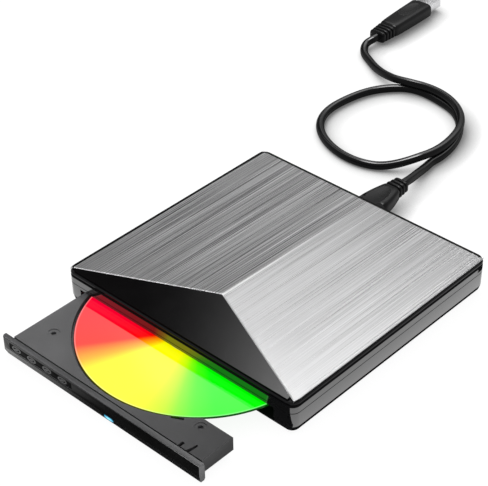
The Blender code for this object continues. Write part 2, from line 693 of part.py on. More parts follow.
def build_led_and_button():
    front = min(BEZEL_CUT_Y)
    led = prism("led_lens", rounded_about(LED_X, LED_Z, 2.95, 1.05, 1.04, 5), (front, -44.8),
                "led_cyan", "xz")
    cut(led, lip_trimmer("led_face", LED_X - 8.0, LED_X + 8.0))
    button = prism("eject_button",
                   rounded_rect(BUTTON_X0, BUTTON_X1, BUTTON_Z0, BUTTON_Z1, 0.4, 3),
                   (front, -45.6), "button_grey", "xz")
    cut(button, lip_trimmer("button_face", BUTTON_X0 - 3.0, BUTTON_X1 + 3.0))
    box("eject_switch", (BUTTON_X0 + 2.5, BUTTON_X1 - 2.5), (-42.5, -40.5), (3.3, 5.0),
        "chip_black")


# ---------------------------------------------------------------- mechanism under the tray
# (along, across) the track
FRAME = [(-24.0, -24.0), (64.5, -24.0), (64.5, 16.8), (60.0, 17.6), (-24.0, 17.6)]
# (radius, z)
MOTOR = [(0, 4.0), (12.5, 4.0), (12.5, 5.2), (9.0, 5.6), (2.0, 5.6), (0, 5.6)]
TURNTABLE = [(0, 5.8), (9.0, 5.8), (14.0, 6.3), (14.0, 8.05), (7.2, 8.05), (7.2, 9.5),
             (6.2, 10.15), (0, 10.15)]
LENS = [(0, 6.2), (2.6, 6.2), (2.6, 7.0), (2.0, 7.55), (0, 7.55)]
# (along from the lens, across) the track
SLED = [(-9.0, -17.6), (3.5, -17.6), (3.5, -12.8), (8.5, -8.0), (8.5, 8.0), (3.5, 12.8),
        (3.5, 17.2), (-9.0, 17.2), (-9.0, 12.0), (-9.0, -12.0)]
SLED_MIDDLE = [(-6.0, -8.0), (1.0, -8.0), (4.8, -3.9), (4.8, 3.9), (1.0, 8.0), (-6.0, 8.0)]


def build_mech_frame():
    prism("mech_frame", track_outline(*FRAME), (3.5, 3.9), "sheet_steel",
          holes=[track_rect(17.0, 60.0, -13.2, 13.2)])
    smooth(turned("spindle_motor", MOTOR, SPINDLE, "rotor_grey", 36))


def build_guide_rods():
    """Two guide rods, each held by a clip at both ends."""
    for side, across in ROD_OFFSETS.items():
        smooth(track_rod("guide_rod_" + side, 14.5, 64.0, across, ROD_Z, ROD_R, ROD_SEGMENTS,
                         "rod_steel"))
        for end, start in (("inner", 12.6), ("outer", 60.8)):
            outline = track_rect(start, start + 3.4, across - 1.7, across + 1.7)
            clip = prism(f"rod_clip_{side}_{end}", outline, (4.15, 6.65), "chip_black")
            cut(clip, track_rod(f"clip_bore_{side}_{end}", start - 2.0, start + 6.0, across,
                                ROD_Z, ROD_R + 0.05, ROD_SEGMENTS))


def build_sled_drive():
    smooth(track_rod("sled_motor", 9.0, 21.0, LEAD_SCREW_OFFSET, LEAD_SCREW_Z, 1.7, 20,
                     "sheet_steel"))
    smooth(track_rod("lead_screw", LEAD_SCREW_START, 62.0, LEAD_SCREW_OFFSET, LEAD_SCREW_Z,
                     LEAD_SCREW_R, 12, "rod_steel"))


def build_pickup():
    """Sled riding both guide rods, with its raised middle and the lens."""
    body, middle = [track_outline(*((LENS_TRAVEL + along, across) for along, across in table))
                    for table in (SLED, SLED_MIDDLE)]
    sled = prism("pickup_sled", body, (4.3, 6.7), "sled_zinc")
    fuse(sled, prism("sled_middle", middle, (4.6, 7.3)))
    for side, across in ROD_OFFSETS.items():
        cut(sled, track_rod(f"sled_bore_{side}", 0.0, 80.0, across, ROD_Z, ROD_R + 0.06,
                            ROD_SEGMENTS))
    lens_at = track(LENS_TRAVEL, 0.0)
    cut(sled, prism("lens_well", ellipse(*lens_at, 3.2, 3.2, 20), (6.0, 9.0)))
    smooth(turned("pickup_lens", LENS, lens_at, "lens_glass", 24))


def build_turntable():
    """Turntable with its hub and three balls round the hub."""
    table = turned("turntable", TURNTABLE, SPINDLE, "rotor_grey", 40)
    for k in range(3):
        a = math.radians(90 + 120 * k)
        centre = Vector((SPINDLE[0] + 6.95 * math.cos(a), SPINDLE[1] + 6.95 * math.sin(a), 9.72))
        bm = bmesh.new()
        bmesh.ops.create_uvsphere(bm, u_segments=10, v_segments=8, radius=0.55 * MM)
        bmesh.ops.translate(bm, vec=centre * MM, verts=bm.verts)
        fuse(table, add_solid(f"ball_{k}", bm))
    smooth(table)


def build_disc():
    rim, bevel = DISC_R - 0.15, 0.2
    profile = [(DISC_HOLE_R, DISC_Z0), (rim, DISC_Z0), (DISC_R, DISC_Z0 + bevel),
               (DISC_R, DISC_Z1 - bevel), (rim, DISC_Z1), (DISC_HOLE_R, DISC_Z1)]
    smooth(turned("disc", profile, SPINDLE, "disc_face", 96))


# ---------------------------------------------------------------- USB lead
REAR_PLACE = Matrix.Translation((PORT_X, REAR_PLUG_Y, PORT_Z))
HOST_PLACE = Matrix.Translation((HOST_X, HOST_Y, HOST_Z)) @ Matrix.Rotation(HOST_TILT, 4, "Z")

# plug stations: (distance along the plug, width, height, rise above its axis)
REAR_BODY = [(0.0, 15.8, 8.4, 0.0), (0.8, 16.8, 9.2, 0.0), (9.0, 16.8, 9.3, 0.0),
             (16.0, 15.4, 9.2, 0.1), (21.0, 13.2, 8.7, 0.4), (25.2, 10.8, 7.6, 0.8)]
HOST_BODY = [(15.0, 13.6, 8.6, 0.0), (22.0, 14.2, 9.0, 0.0), (32.0, 14.8, 9.2, 0.0),
             (HOST_L - 1.2, 15.4, 9.2, 0.0), (HOST_L, 14.6, 8.6, 0.0)]


def rear_stations():
    """Body, then three strain-relief ribs tapering towards the lead."""
    stations = list(REAR_BODY)
    for k in range(3):
        start, width = REAR_BODY[-1][0] + 2.8 * k, 10.4 - 0.6 * k
        neck, rib = 5.9 - 0.2 * k, 7.4 - 0.25 * k
        stations += [(start + 0.15, width - 2.4, neck, PLUG_RISE),
                     (start + 0.95, width - 2.4, neck, PLUG_RISE),
                     (start + 1.1, width - 0.3, rib, PLUG_RISE),
                     (start + 2.7, width - 0.6, rib - 0.2, PLUG_RISE)]
    return stations


def host_stations():
    """Four strain-relief ribs with necks between them, then the body."""
    stations = []
    for k in range(4):
        start, width = 2.9 * k, 11.4 + 0.5 * k
        stations += [(start, width - 0.5, 7.2 + 0.2 * k, 0.0),
                     (start + 1.7, width, 7.4 + 0.2 * k, 0.0)]
        if k < 3:
            stations += [(start + 1.85, width - 2.4, 5.6, 0.0),
                         (start + 2.75, width - 2.2, 5.6, 0.0)]
    return stations + HOST_BODY


def plug_body(name, stations, place):
    rings = []
    for along, width, height, rise in stations:
        section = rounded_about(0.0, 0.0, width / 2, height / 2, min(width, height) * 0.36, 4)
        rings.append([place @ Vector((x, along, z + rise)) for x, z in section])
    loft(name, rings, "cable_black")


def build_plugs():
    """Plug bodies and their hollow metal tips."""
    plug_body("rear_plug", rear_stations(), REAR_PLACE)
    plug_body("host_plug", host_stations(), HOST_PLACE)
    rear_tip = prism("rear_plug_tip", rounded_about(PORT_X, PORT_Z, 3.3, 1.5, 0.5, 3),
                     (134.0, 142.05), "sheet_steel", "xz")
    cut(rear_tip, prism("rear_tip_hollow", rounded_about(PORT_X, PORT_Z, 2.8, 1.0, 0.3, 3),
                        (133.0, 140.5), None, "xz"))
    tip = prism("host_plug_tip", rounded_about(0.0, 0.0, 6.0, 2.25, 0.4, 2),
                (HOST_L + 0.3, HOST_L + 12.3), "sheet_steel", "xz")
    hollow = prism("host_tip_hollow", rounded_about(0.0, 0.0, 5.6, 1.85, 0.3, 2),
                   (HOST_L + 1.8, HOST_L + 14.0), None, "xz")
    cut(tip, hollow)
    # HOST_PLACE is in millimetres and the meshes are in metres
    place = Matrix.Scale(MM, 4) @ HOST_PLACE @ Matrix.Scale(1 / MM, 4)
    for ob in (tip, hollow):
        ob.data.transform(place)


# (x from the port, y from the rear plug's end, z)
LEAD_START = [
    (0.0, 0.0, PORT_Z + PLUG_RISE), (0.0, 1.2, PORT_Z + PLUG_RISE), (-0.8, 6.0, 8.3),
    (-2.2, 11.5, 6.7), (-3.9, 17.5, 5.1), (-5.4, 23.5, 3.7), (-6.5, 29.5, 2.8)]
# (x, y, z) from the loop towards the host plug
LEAD_END = [
    (-72.5, 265.8, 6.95), (-79.5, 264.6, 6.5), (-87.0, 266.1, 5.4), (-94.5, 269.1, 4.0),
    (-102.0, 272.9, 2.9), (-109.4, 277.2, 2.4), (-116.4, 281.3, 2.4), (-121.0, 286.3, 2.9),
    (-122.9, 291.4, 3.8)]
# (radius added, angle, spread) of the loop's departures from a circle, in degrees
LOOP_SWELLS = [(-4.9, 172, 38.0), (5.0, 300, 38.0), (1.1, 112, 15.0), (-0.9, 80, 16.0)]


def ease(t):
    t = min(max(t, 0.0), 1.0)
    return t * t * (3 - 2 * t)


def loop_radius(angle):
    if angle <= 36:
        return LOOP_R + 5.4 * ((36 - angle) / 56.0) ** 2
    if angle <= 300:
        return LOOP_R + sum(added * math.exp(-((angle - centre) / spread) ** 2)
                            for added, centre, spread in LOOP_SWELLS)
    return LOOP_R + 0.4 + 4.8 * (1 - ease((angle - 314) / 60.0))


def lead_path():
    """Centre line from the rear plug, about one and a third turns round, to the host plug."""
    start_y = REAR_PLUG_Y + rear_stations()[-1][0] + 0.25
    points = [(PORT_X + x, start_y + y, z) for x, y, z in LEAD_START]
    for angle in range(-21, 468, 8):
        a, radius = math.radians(angle), loop_radius(angle)
        points.append((LOOP_X + radius * math.cos(a), LOOP_Y + radius * math.sin(a),
                       CABLE_LOW_Z + CABLE_CROSSING_LIFT * ease((angle - 296) / 38.0)))
    points += LEAD_END
    points.append(HOST_PLACE @ Vector((0, -3.2, -0.2)))
    points.append(HOST_PLACE @ Vector((0, -0.3, 0)))
    return points


def build_lead():
    curve = bpy.data.curves.new("usb_lead", "CURVE")
    curve.dimensions = "3D"
    curve.bevel_depth = CABLE_R * MM
    curve.bevel_resolution = 2
    curve.use_fill_caps = True
    polyline(curve, lead_path(), cyclic=False)
    smooth(add_solid("usb_lead", curve_bmesh(curve, merge=0.00001), "cable_black"))


# ---------------------------------------------------------------- joints
# pivot: (parent pivot, place, pieces it carries); a parent comes before its children
JOINTS = {
    "tray_slide": (None, (0.0, TRAY_FRONT, 6.0), [
        "tray", "bezel", "led_lens", "eject_switch", "tray_board", "mech_frame",
        "spindle_motor", "guide_rod_front", "guide_rod_rear", "rod_clip_front_inner",
        "rod_clip_front_outer", "rod_clip_rear_inner", "rod_clip_rear_outer", "sled_motor",
        "runner_left", "runner_right", "tray_screw_left", "tray_screw_right"]),
    "eject_press": ("tray_slide", ((BUTTON_X0 + BUTTON_X1) / 2, BEZEL_FRONT,
                                   (BUTTON_Z0 + BUTTON_Z1) / 2), ["eject_button"]),
    "sled_slide": ("tray_slide", (*track(LENS_TRAVEL, 0.0), ROD_Z),
                   ["pickup_sled", "pickup_lens"]),
    "lead_screw_spin": ("tray_slide", (*track(LEAD_SCREW_START, LEAD_SCREW_OFFSET),
                                       LEAD_SCREW_Z), ["lead_screw"]),
    "disc_spin": ("tray_slide", (*SPINDLE, 0.0), ["turntable", "disc"]),
    "rail_left_slide": (None, (-63.0, 35.0, RAIL_MIDDLE_Z), ["rail_middle_left"]),
    "rail_right_slide": (None, (TRAY_BODY_R + 2.0, 35.0, RAIL_MIDDLE_Z),
                         ["rail_middle_right"]),
    "plug_pull": (None, (PORT_X, REAR_PLUG_Y, PORT_Z), [
        "rear_plug", "rear_plug_tip", "usb_lead", "host_plug", "host_plug_tip"]),
}


def add_empty(name, size, location):
    empty = bpy.data.objects.new(name, None)
    empty.empty_display_size = size
    empty.location = location
    PARTS.objects.link(empty)
    return empty


def attach(child, pivot):
    """Parent the child to the pivot without moving it."""
    child.parent = pivot
    child.matrix_parent_inverse = Matrix.Translation(-pivot.location)


def build_joints():
    for label, (parent, place, members) in JOINTS.items():
        at = Vector(place) * MM
        pivot = add_empty(label, 0.01, at)
        for name in members:
            ob = bpy.data.objects[name]
            # turned pieces keep their origin, which is on their axis
            if not any(mod.type == "SCREW" for mod in ob.modifiers):
                ob.data.transform(Matrix.Translation(-at))
                ob.location = at
            attach(ob, pivot)
        if parent:
            attach(pivot, bpy.data.objects[parent])


def build_root():
    loose = [ob for ob in (*PARTS.objects, *CUTTERS.objects) if ob.parent is None]
    root = add_empty("drive_root", 0.02, (0.0, -FOOT_Y * MM, 0.0))
    for ob in loose:
        ob.parent = root


lower_shell = build_lower_shell()
build_upper_shell()
build_case_screws()
build_lid_plate()
build_front_facet()
build_top_cover()
build_feet()
drive_pan = build_chassis(lower_shell)
build_rails()
build_bridge_board(lower_shell)
build_socket()
build_ribbon(drive_pan)
build_tray()
build_tray_fittings()
build_bezel()
build_led_and_button()
build_mech_frame()
build_guide_rods()
build_sled_drive()
build_pickup()
build_turntable()
build_disc()
build_plugs()
build_lead()
build_joints()
build_root()
bpy.context.view_layer.update()
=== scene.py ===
# A slim optical disc drive with its tray open, a disc on the spindle, and a USB lead coiled behind.
# X runs across the width (0 = middle), the tray opens towards -Y, and Z is up from the table.
# Drawing coordinates are millimetres with Y = 0 at the case's front face; point() turns them into
# the row frame, in metres, whose origin lies ORIGIN_Y behind that face.
import functools
import json
import math

import bmesh
import bpy
from mathutils import Matrix, Vector

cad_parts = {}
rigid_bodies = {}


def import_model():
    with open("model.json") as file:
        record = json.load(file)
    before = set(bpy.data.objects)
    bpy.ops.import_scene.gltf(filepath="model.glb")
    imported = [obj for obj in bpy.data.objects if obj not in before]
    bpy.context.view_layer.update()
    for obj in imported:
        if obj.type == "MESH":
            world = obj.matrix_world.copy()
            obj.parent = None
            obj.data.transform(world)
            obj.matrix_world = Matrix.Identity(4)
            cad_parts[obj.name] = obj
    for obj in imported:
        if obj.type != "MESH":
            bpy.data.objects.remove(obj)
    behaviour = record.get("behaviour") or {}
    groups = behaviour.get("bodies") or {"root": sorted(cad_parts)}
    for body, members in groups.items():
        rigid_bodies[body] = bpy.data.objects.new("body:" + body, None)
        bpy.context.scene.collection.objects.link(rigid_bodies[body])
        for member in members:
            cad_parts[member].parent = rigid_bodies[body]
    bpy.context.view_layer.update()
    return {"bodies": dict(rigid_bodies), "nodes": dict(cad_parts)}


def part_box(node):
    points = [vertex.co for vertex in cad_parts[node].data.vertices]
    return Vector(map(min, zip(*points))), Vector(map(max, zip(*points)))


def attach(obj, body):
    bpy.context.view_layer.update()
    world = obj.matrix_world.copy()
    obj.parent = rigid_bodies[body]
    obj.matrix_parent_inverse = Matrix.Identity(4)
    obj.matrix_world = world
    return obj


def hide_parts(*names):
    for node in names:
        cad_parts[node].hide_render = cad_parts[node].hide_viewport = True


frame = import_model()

NODES = frame["nodes"]
MM = 0.001

FOOT_START = 7.5    # front foot strip, behind the case's front face
foot_lo, foot_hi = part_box("foot_front")
ORIGIN_Y = (foot_hi.y - foot_lo.y) / 2 / MM + FOOT_START

# Lid plate: a sheet with two facets that fold down the middle from a raised peak near the front.
PLATE_THICK = 0.7
PLATE_EDGE_Z = 19.25        # top of the plate along its low edges
PLATE_RISE = 3.15           # peak above those edges
PLATE_CORNER = 4.0          # corner radius in plan
PLATE_FRONT, PLATE_REAR = 1.5, 141.35
PLATE_CORNER_FRONT = 0.65   # front tangent of the front corner arcs
PLATE_HALF = 72.35
PEAK_Y = 32.5

DISC_Y = 18.5               # disc centre
DISC_Z0, DISC_Z1 = 8.2, 9.4
DISC_RADIUS = 60.0

# Lead and plugs. Each plug's own frame has Y along the plug.
PORT_X, PORT_Y, PORT_Z = -5.4, 142.35, 8.4
LOOP_X, LOOP_Y = -55.5, 228.5
LEAD_RADIUS = 2.38
REAR = Matrix.Translation((PORT_X, PORT_Y, PORT_Z))
HOST = Matrix.Translation((-121.9, 299.6, 5.2)) @ Matrix.Rotation(math.radians(3.0), 4, "Z")


# ---------------------------------------------------------------- mesh helpers
def point(x, y, z):
    return Vector((x * MM, (y - ORIGIN_Y) * MM, z * MM))


def add_object(name, data):
    part = bpy.data.objects.new(name, data)
    bpy.context.scene.collection.objects.link(part)
    return part


def shade_smooth(mesh):
    for face in mesh.polygons:
        face.use_smooth = True


def mesh_object(bm, name, smooth=True):
    bmesh.ops.recalc_face_normals(bm, faces=bm.faces)
    mesh = bpy.data.meshes.new(name)
    bm.to_mesh(mesh)
    bm.free()
    if smooth:
        shade_smooth(mesh)
    return add_object(name, mesh)


def sharpen(part, angle):
    part.data.set_sharp_from_angle(angle=math.radians(angle))


def skin(name, rings):
    """Capped skin through rings of equal point count."""
    bm = bmesh.new()
    verts = [[bm.verts.new(point(*p)) for p in ring] for ring in rings]
    count = len(rings[0])
    for a, b in zip(verts, verts[1:]):
        for k in range(count):
            bm.faces.new((a[k], a[(k + 1) % count], b[(k + 1) % count], b[k]))
    bm.faces.new(verts[0])
    bm.faces.new(verts[-1])
    return mesh_object(bm, name)


def slab(name, outline, start, end, plane="xz"):
    """Outline in a plane, given thickness from start to end along the plane's normal."""
    def place(u, v, w):
        return {"xy": point(u, v, w), "xz": point(u, w, v), "yz": point(w, u, v)}[plane]
    bm = bmesh.new()
    low = [bm.verts.new(place(u, v, start)) for u, v in outline]
    high = [bm.verts.new(place(u, v, end)) for u, v in outline]
    bm.faces.new(low)
    bm.faces.new(high)
    count = len(outline)
    for k in range(count):
        j = (k + 1) % count
        bm.faces.new((low[k], low[j], high[j], high[k]))
    return mesh_object(bm, name)


def turn(name, profile, centre_y, segments):
    """Closed profile of (radius, z) turned about the vertical through (0, centre_y)."""
    bm = bmesh.new()
    angles = [2 * math.pi * k / segments for k in range(segments)]
    rings = [[bm.verts.new(point(r * math.cos(a), centre_y + r * math.sin(a), z)) for a in angles]
             for r, z in profile]
    for a, b in zip(rings, rings[1:] + rings[:1]):
        for k in range(segments):
            j = (k + 1) % segments
            bm.faces.new((a[k], b[k], b[j], a[j]))
    return mesh_object(bm, name)


def rounded_box(x0, x1, y0, y1, radius, steps):
    corners = ((x1 - radius, y1 - radius, 0), (x0 + radius, y1 - radius, 90),
               (x0 + radius, y0 + radius, 180), (x1 - radius, y0 + radius, 270))
    outline = []
    for cx, cy, start in corners:
        for k in range(steps + 1):
            a = math.radians(start + 90.0 * k / steps)
            outline.append((cx + radius * math.cos(a), cy + radius * math.sin(a)))
    return outline


def oval(cx, cy, half_width, half_height, count=32):
    angles = [2 * math.pi * k / count for k in range(count)]
    return [(cx + half_width * math.cos(a), cy + half_height * math.sin(a)) for a in angles]


def apply_modifiers(part):
    graph = bpy.context.evaluated_depsgraph_get()
    graph.update()
    mesh = bpy.data.meshes.new_from_object(part.evaluated_get(graph))
    part.modifiers.clear()
    part.data = mesh


def boolean(part, other, operation="DIFFERENCE"):
    """Combine with another object, which is used up."""
    modifier = part.modifiers.new("cut", "BOOLEAN")
    modifier.operation = operation
    modifier.solver = "EXACT"
    modifier.object = other
    apply_modifiers(part)
    bpy.data.objects.remove(other, do_unlink=True)


# ---------------------------------------------------------------- node helpers
class Graph:
    """Short ways to add shader nodes to a node tree. Values may be numbers, tuples or sockets."""

    def __init__(self, tree):
        self.tree = tree

    def feed(self, socket, value):
        if isinstance(value, bpy.types.NodeSocket):
            self.tree.links.new(value, socket)
        elif socket.type == "RGBA" and len(value) == 3:
            socket.default_value = (*value, 1.0)
        else:
            socket.default_value = value

    def node(self, kind, *values, **named):
        node = self.tree.nodes.new("ShaderNode" + kind)
        for socket, value in zip(node.inputs, values):
            self.feed(socket, value)
        for key, value in named.items():
            self.feed(node.inputs[key], value)
        return node

    def vmath(self, operation, *values):
        node = self.node("VectorMath", *values)
        node.operation = operation
        return node.outputs[0]

    def math(self, operation, first, second=0.0):
        node = self.node("Math", first, second)
        node.operation = operation
        return node.outputs[0]

    def add(self, *values):
        return functools.reduce(lambda a, b: self.math("ADD", a, b), values)

    def mul(self, *values):
        return functools.reduce(lambda a, b: self.math("MULTIPLY", a, b), values)

    def sub(self, first, second):
        return self.math("SUBTRACT", first, second)

    def invert(self, value):
        return self.sub(1.0, value)

    def off(self, value, centre):
        """Distance from a centre value."""
        return self.math("ABSOLUTE", self.sub(value, centre))

    def hypot(self, x, y):
        return self.math("SQRT", self.add(self.mul(x, x), self.mul(y, y)))

    def split(self, vector):
        return tuple(self.node("SeparateXYZ", vector).outputs)

    def comb(self, x, y, z):
        return self.node("CombineXYZ", x, y, z).outputs[0]

    def remap(self, value, span, to=(0.0, 1.0), smooth=False):
        """Clamped map of span onto the range to."""
        node = self.node("MapRange", value, *span, *to)
        if smooth:
            node.interpolation_type = "SMOOTHSTEP"
        return node.outputs[0]

    def vary(self, noise, low, high):
        """The usual spread of a noise, mapped from low to high."""
        return self.remap(noise, (0.3, 0.7), to=(low, high))

    def mix(self, factor, first, second):
        node = self.node("Mix", factor)
        node.data_type = "RGBA"
        self.feed(node.inputs[6], first)
        self.feed(node.inputs[7], second)
        return node.outputs[2]

    def tint(self, colour, factor):
        """Colour multiplied by a factor."""
        node = self.node("VectorMath", colour)
        node.operation = "SCALE"
        self.feed(node.inputs["Scale"], factor)
        return node.outputs[0]


class Material(Graph):
    """A Principled material. Its coordinates are the object's own, in millimetres."""

    def __init__(self, name, **values):
        self.material = bpy.data.materials.new(name)
        self.material.use_nodes = True
        super().__init__(self.material.node_tree)
        self.shader = self.tree.nodes["Principled BSDF"]
        self.mm = self.to_mm(self.node("TexCoord").outputs["Object"])
        self.set(**values)

    def set(self, **values):
        for key, value in values.items():
            self.feed(self.shader.inputs[key.replace("_", " ")], value)

    def to_mm(self, vector):
        return self.vmath("MULTIPLY", vector, (1000.0, 1000.0, 1000.0))

    def xyz(self):
        return self.split(self.mm)

    def normal(self):
        return self.split(self.node("NewGeometry").outputs["Normal"])

    def noise(self, scale, detail=3, rough=0.6, shift=None):
        """Noise; scale is features per millimetre, one number or one for each axis."""
        if not isinstance(scale, tuple):
            scale = (scale,) * 3
        vector = self.vmath("MULTIPLY", self.mm, scale)
        if shift:
            vector = self.vmath("ADD", vector, shift)
        node = self.node("TexNoise", Vector=vector, Scale=1.0, Detail=detail, Roughness=rough)
        return node.outputs["Fac"]

    def bump(self, height, depth, strength=1.0):
        node = self.node("Bump", Strength=strength, Distance=depth * MM, Height=height)
        self.set(Normal=node.outputs[0])


# ---------------------------------------------------------------- families of material
def fine_plastic(name, colour, rough, grain=0.5, depth=0.01, spec=0.5, across=None, deep=None):
    """Moulded plastic with fine grain and slow colour variation.

    grain and depth are the grain's size and height in mm. across holds the two ranges that scale
    the colour along X, and deep, given only with across, those that scale it along Z; both
    scalings are painted shade."""
    mat = Material(name, Specular_IOR_Level=spec, IOR=1.5)
    cloud = mat.noise(0.06, detail=3, rough=0.5)
    fine = mat.noise(1.0 / grain, detail=2, rough=0.6)
    colour = mat.tint(colour, mat.add(mat.vary(cloud, 0.88, 1.12), mat.vary(fine, -0.05, 0.05)))
    if across:
        x, _, z = mat.xyz()
        colour = mat.tint(colour, mat.remap(x, *across))
        if deep:
            colour = mat.tint(colour, mat.remap(z, *deep))
    mat.set(Base_Color=colour,
            Roughness=mat.add(mat.vary(cloud, rough - 0.04, rough + 0.05),
                              mat.remap(fine, (0.35, 0.65), to=(-0.03, 0.03))))
    mat.bump(fine, depth)
    return mat


def gloss_plastic(name, colour, rough, ior=1.5, spec=0.5, smear=0.05):
    """Polished black moulding: fine streaks along Y and a haze that adds up to smear roughness."""
    mat = Material(name, Specular_IOR_Level=spec, IOR=ior)
    cloud = mat.noise((0.05, 0.05, 0.09), detail=3, rough=0.55)
    hair = mat.noise((2.2, 0.12, 2.2), detail=3, rough=0.7, shift=(3, 1, 7))
    mat.set(Base_Color=mat.tint(colour, mat.vary(cloud, 0.8, 1.3)),
            Roughness=mat.add(mat.remap(cloud, (0.35, 0.7), to=(rough, rough + smear)),
                              mat.remap(hair, (0.62, 0.8), to=(0.0, 0.06))))
    waves = mat.noise(0.12, detail=1, rough=0.4, shift=(9, 2, 4))
    mat.bump(waves, depth=0.02, strength=0.5)
    return mat


def steel(name, colour=(0.58, 0.58, 0.59), rough=0.33):
    """Sheet steel: rolling grain along Y and a blotchy film."""
    mat = Material(name, Metallic=1.0)
    grain = mat.noise((4.0, 0.08, 4.0), detail=3, rough=0.7)
    blotch = mat.noise(0.08, detail=4, rough=0.6, shift=(5, 5, 5))
    shade = mat.add(mat.vary(grain, 0.88, 1.1), mat.vary(blotch, -0.06, 0.06))
    mat.set(Base_Color=mat.tint(colour, shade),
            Roughness=mat.add(mat.vary(grain, rough - 0.07, rough + 0.09),
                              mat.remap(blotch, (0.4, 0.7), to=(0.0, 0.08))))
    mat.bump(grain, depth=0.004)
    return mat


# ---------------------------------------------------------------- single materials
def brushed_plate():
    mat = Material("brushed_plate", Anisotropic=0.75)
    x, y, _ = mat.xyz()
    # hairlines: three widths of streak, each running most of the length of the plate
    wide = mat.noise((0.8, 0.0035, 0.0), detail=2, rough=0.8, shift=(11, 3, 0))
    middle = mat.noise((2.1, 0.006, 0.0), detail=1, rough=0.6, shift=(2, 7, 0))
    fine = mat.noise((3.6, 0.010, 0.0), detail=1, rough=0.7, shift=(5, 13, 0))
    lines = mat.add(mat.remap(wide, (0.36, 0.64), to=(-0.28, 0.28)),
                    mat.remap(middle, (0.41, 0.59), to=(-1.1, 1.1)),
                    mat.remap(fine, (0.41, 0.59), to=(-1.3, 1.3)))
    # contrast of the lines: stronger on the left facet, fading towards the front on the right
    left = mat.remap(x, (-0.6, 0.6), to=(1.0, 0.0))
    contrast = mat.add(mat.mul(left, 0.15), 0.13)
    fade = mat.math("MAXIMUM", left, mat.remap(y, (-5.0, 75.0), to=(0.30, 0.85)))
    tone = mat.add(1.0, mat.mul(lines, mat.mul(contrast, fade)))

    def streaks(scale, shift, level):
        """Sparse single streaks, at 0.4 of their level on the right facet."""
        noise = mat.noise(scale, detail=1, rough=0.6, shift=shift)
        mask = mat.remap(noise, (0.60, 0.64), to=(0.0, level))
        return mat.mul(mask, mat.mul(fade, mat.add(mat.mul(left, 0.6), 0.4)))
    dark = streaks((2.2, 0.005, 0.0), (17, 5, 0), level=0.40)
    bright = streaks((2.3, 0.006, 0.0), (27, 9, 0), level=0.62)
    tone = mat.add(mat.sub(tone, dark), bright)
    # painted shade: the left facet is darker, and both dim a little towards the rear
    cloud = mat.noise((0.02, 0.012, 0.0), detail=2, rough=0.5)
    tone = mat.mul(tone, mat.invert(mat.mul(left, 0.22)),
                   mat.remap(y, (-10.0, 130.0), to=(0.96, 0.74)), mat.vary(cloud, 0.96, 1.04))
    # painted highlight: a brighter line along the fold, strongest by the peak
    fold = mat.mul(mat.remap(mat.off(x, 0.35), (0.25, 1.1), to=(1.0, 0.0), smooth=True),
                   mat.remap(y, (PEAK_Y - ORIGIN_Y, 118.0), to=(1.0, 0.0)))
    metal = mat.tint((0.60, 0.60, 0.605), tone)
    metal = mat.mix(mat.mul(fold, 0.75), metal, (0.93, 0.93, 0.93))
    # black edging outside a rounded rectangle, along the left and rear edges
    over_x = mat.sub(mat.math("ABSOLUTE", x), PLATE_HALF - PLATE_CORNER)
    over_y = mat.sub(y, PLATE_REAR - PLATE_CORNER - ORIGIN_Y)
    outside = mat.hypot(mat.math("MAXIMUM", over_x, 0.0), mat.math("MAXIMUM", over_y, 0.0))
    inside = mat.math("MINIMUM", mat.math("MAXIMUM", over_x, over_y), 0.0)
    side = mat.math("MAXIMUM", mat.math("LESS_THAN", x, 0.0),
                    mat.math("GREATER_THAN", over_y, over_x))
    border = mat.mul(mat.remap(mat.add(outside, inside), (2.22, 2.36)), side)
    tangent = mat.node("Tangent")
    tangent.direction_type = "UV_MAP"
    tangent.uv_map = "grain"
    mat.set(Base_Color=mat.mix(border, metal, (0.002, 0.002, 0.002)),
            Metallic=mat.invert(border),
            Specular_IOR_Level=mat.remap(border, (0.0, 1.0), to=(0.5, 0.1)),
            Roughness=mat.add(mat.vary(middle, 0.27, 0.37), mat.vary(fine, -0.03, 0.03)),
            Tangent=tangent.outputs[0])
    mat.bump(lines, depth=0.006, strength=0.6)
    return mat


def plate_edge():
    mat = Material("plate_edge", Metallic=1.0)
    noise = mat.noise((1.5, 1.5, 6.0), detail=2)
    # the white glow is a painted highlight along the polished edge
    mat.set(Base_Color=mat.tint((0.93, 0.93, 0.94), mat.vary(noise, 0.94, 1.04)),
            Roughness=mat.vary(noise, 0.16, 0.26),
            Emission_Color=(1.0, 1.0, 1.0),
            Emission_Strength=0.38)
    return mat


def shell_gloss():
    """Gloss with painted shade: no sheen inside the seam, in two bands by height or on the undercut
    faces, and a painted sheen that weakens upwards.
    """
    mat = gloss_plastic("shell_gloss", (0.006, 0.006, 0.0065), 0.10, ior=2.1)
    _, normal_y, normal_z = mat.normal()
    _, y, z = mat.xyz()
    seam = mat.remap(mat.off(z, 12.0), (0.16, 0.24))
    under = mat.remap(normal_z, (-0.45, -0.15))
    bands = mat.mul(mat.remap(z, (3.9, 4.2)), mat.remap(mat.off(z, 15.9), (0.42, 0.54)))
    # painted shade: faces tilted up and forward lose most of their sheen
    lip = mat.mul(mat.remap(normal_y, (-0.45, -0.25), to=(1.0, 0.0)),
                  mat.remap(normal_z, (0.25, 0.45)))
    bands = mat.mul(bands, mat.invert(mat.mul(lip, 0.93)))
    # painted shade: no sheen on the upper part of the rear end
    corner = mat.mul(mat.remap(y, (123.5, 125.0)), mat.remap(z, (13.2, 13.6)))
    sheen = mat.remap(z, (2.2, 16.0), to=(0.62, 0.50))
    mat.set(Specular_IOR_Level=mat.mul(seam, bands, mat.invert(corner), under, sheen))
    return mat


def panel_gloss():
    """Gloss with a painted reflection: its sheen grows to the right on the face and stays off its
    narrow edges.
    """
    mat = gloss_plastic("panel_gloss", (0.0035, 0.0033, 0.0035), 0.10, ior=1.55, smear=0.04)
    flat = mat.remap(mat.normal()[2], (0.90, 0.97), to=(0.06, 1.0))
    rightward = mat.math("POWER", mat.remap(mat.xyz()[0], (-73.0, 73.0)), 3.0)
    mat.set(Specular_IOR_Level=mat.mul(rightward, 0.85, flat))
    return mat


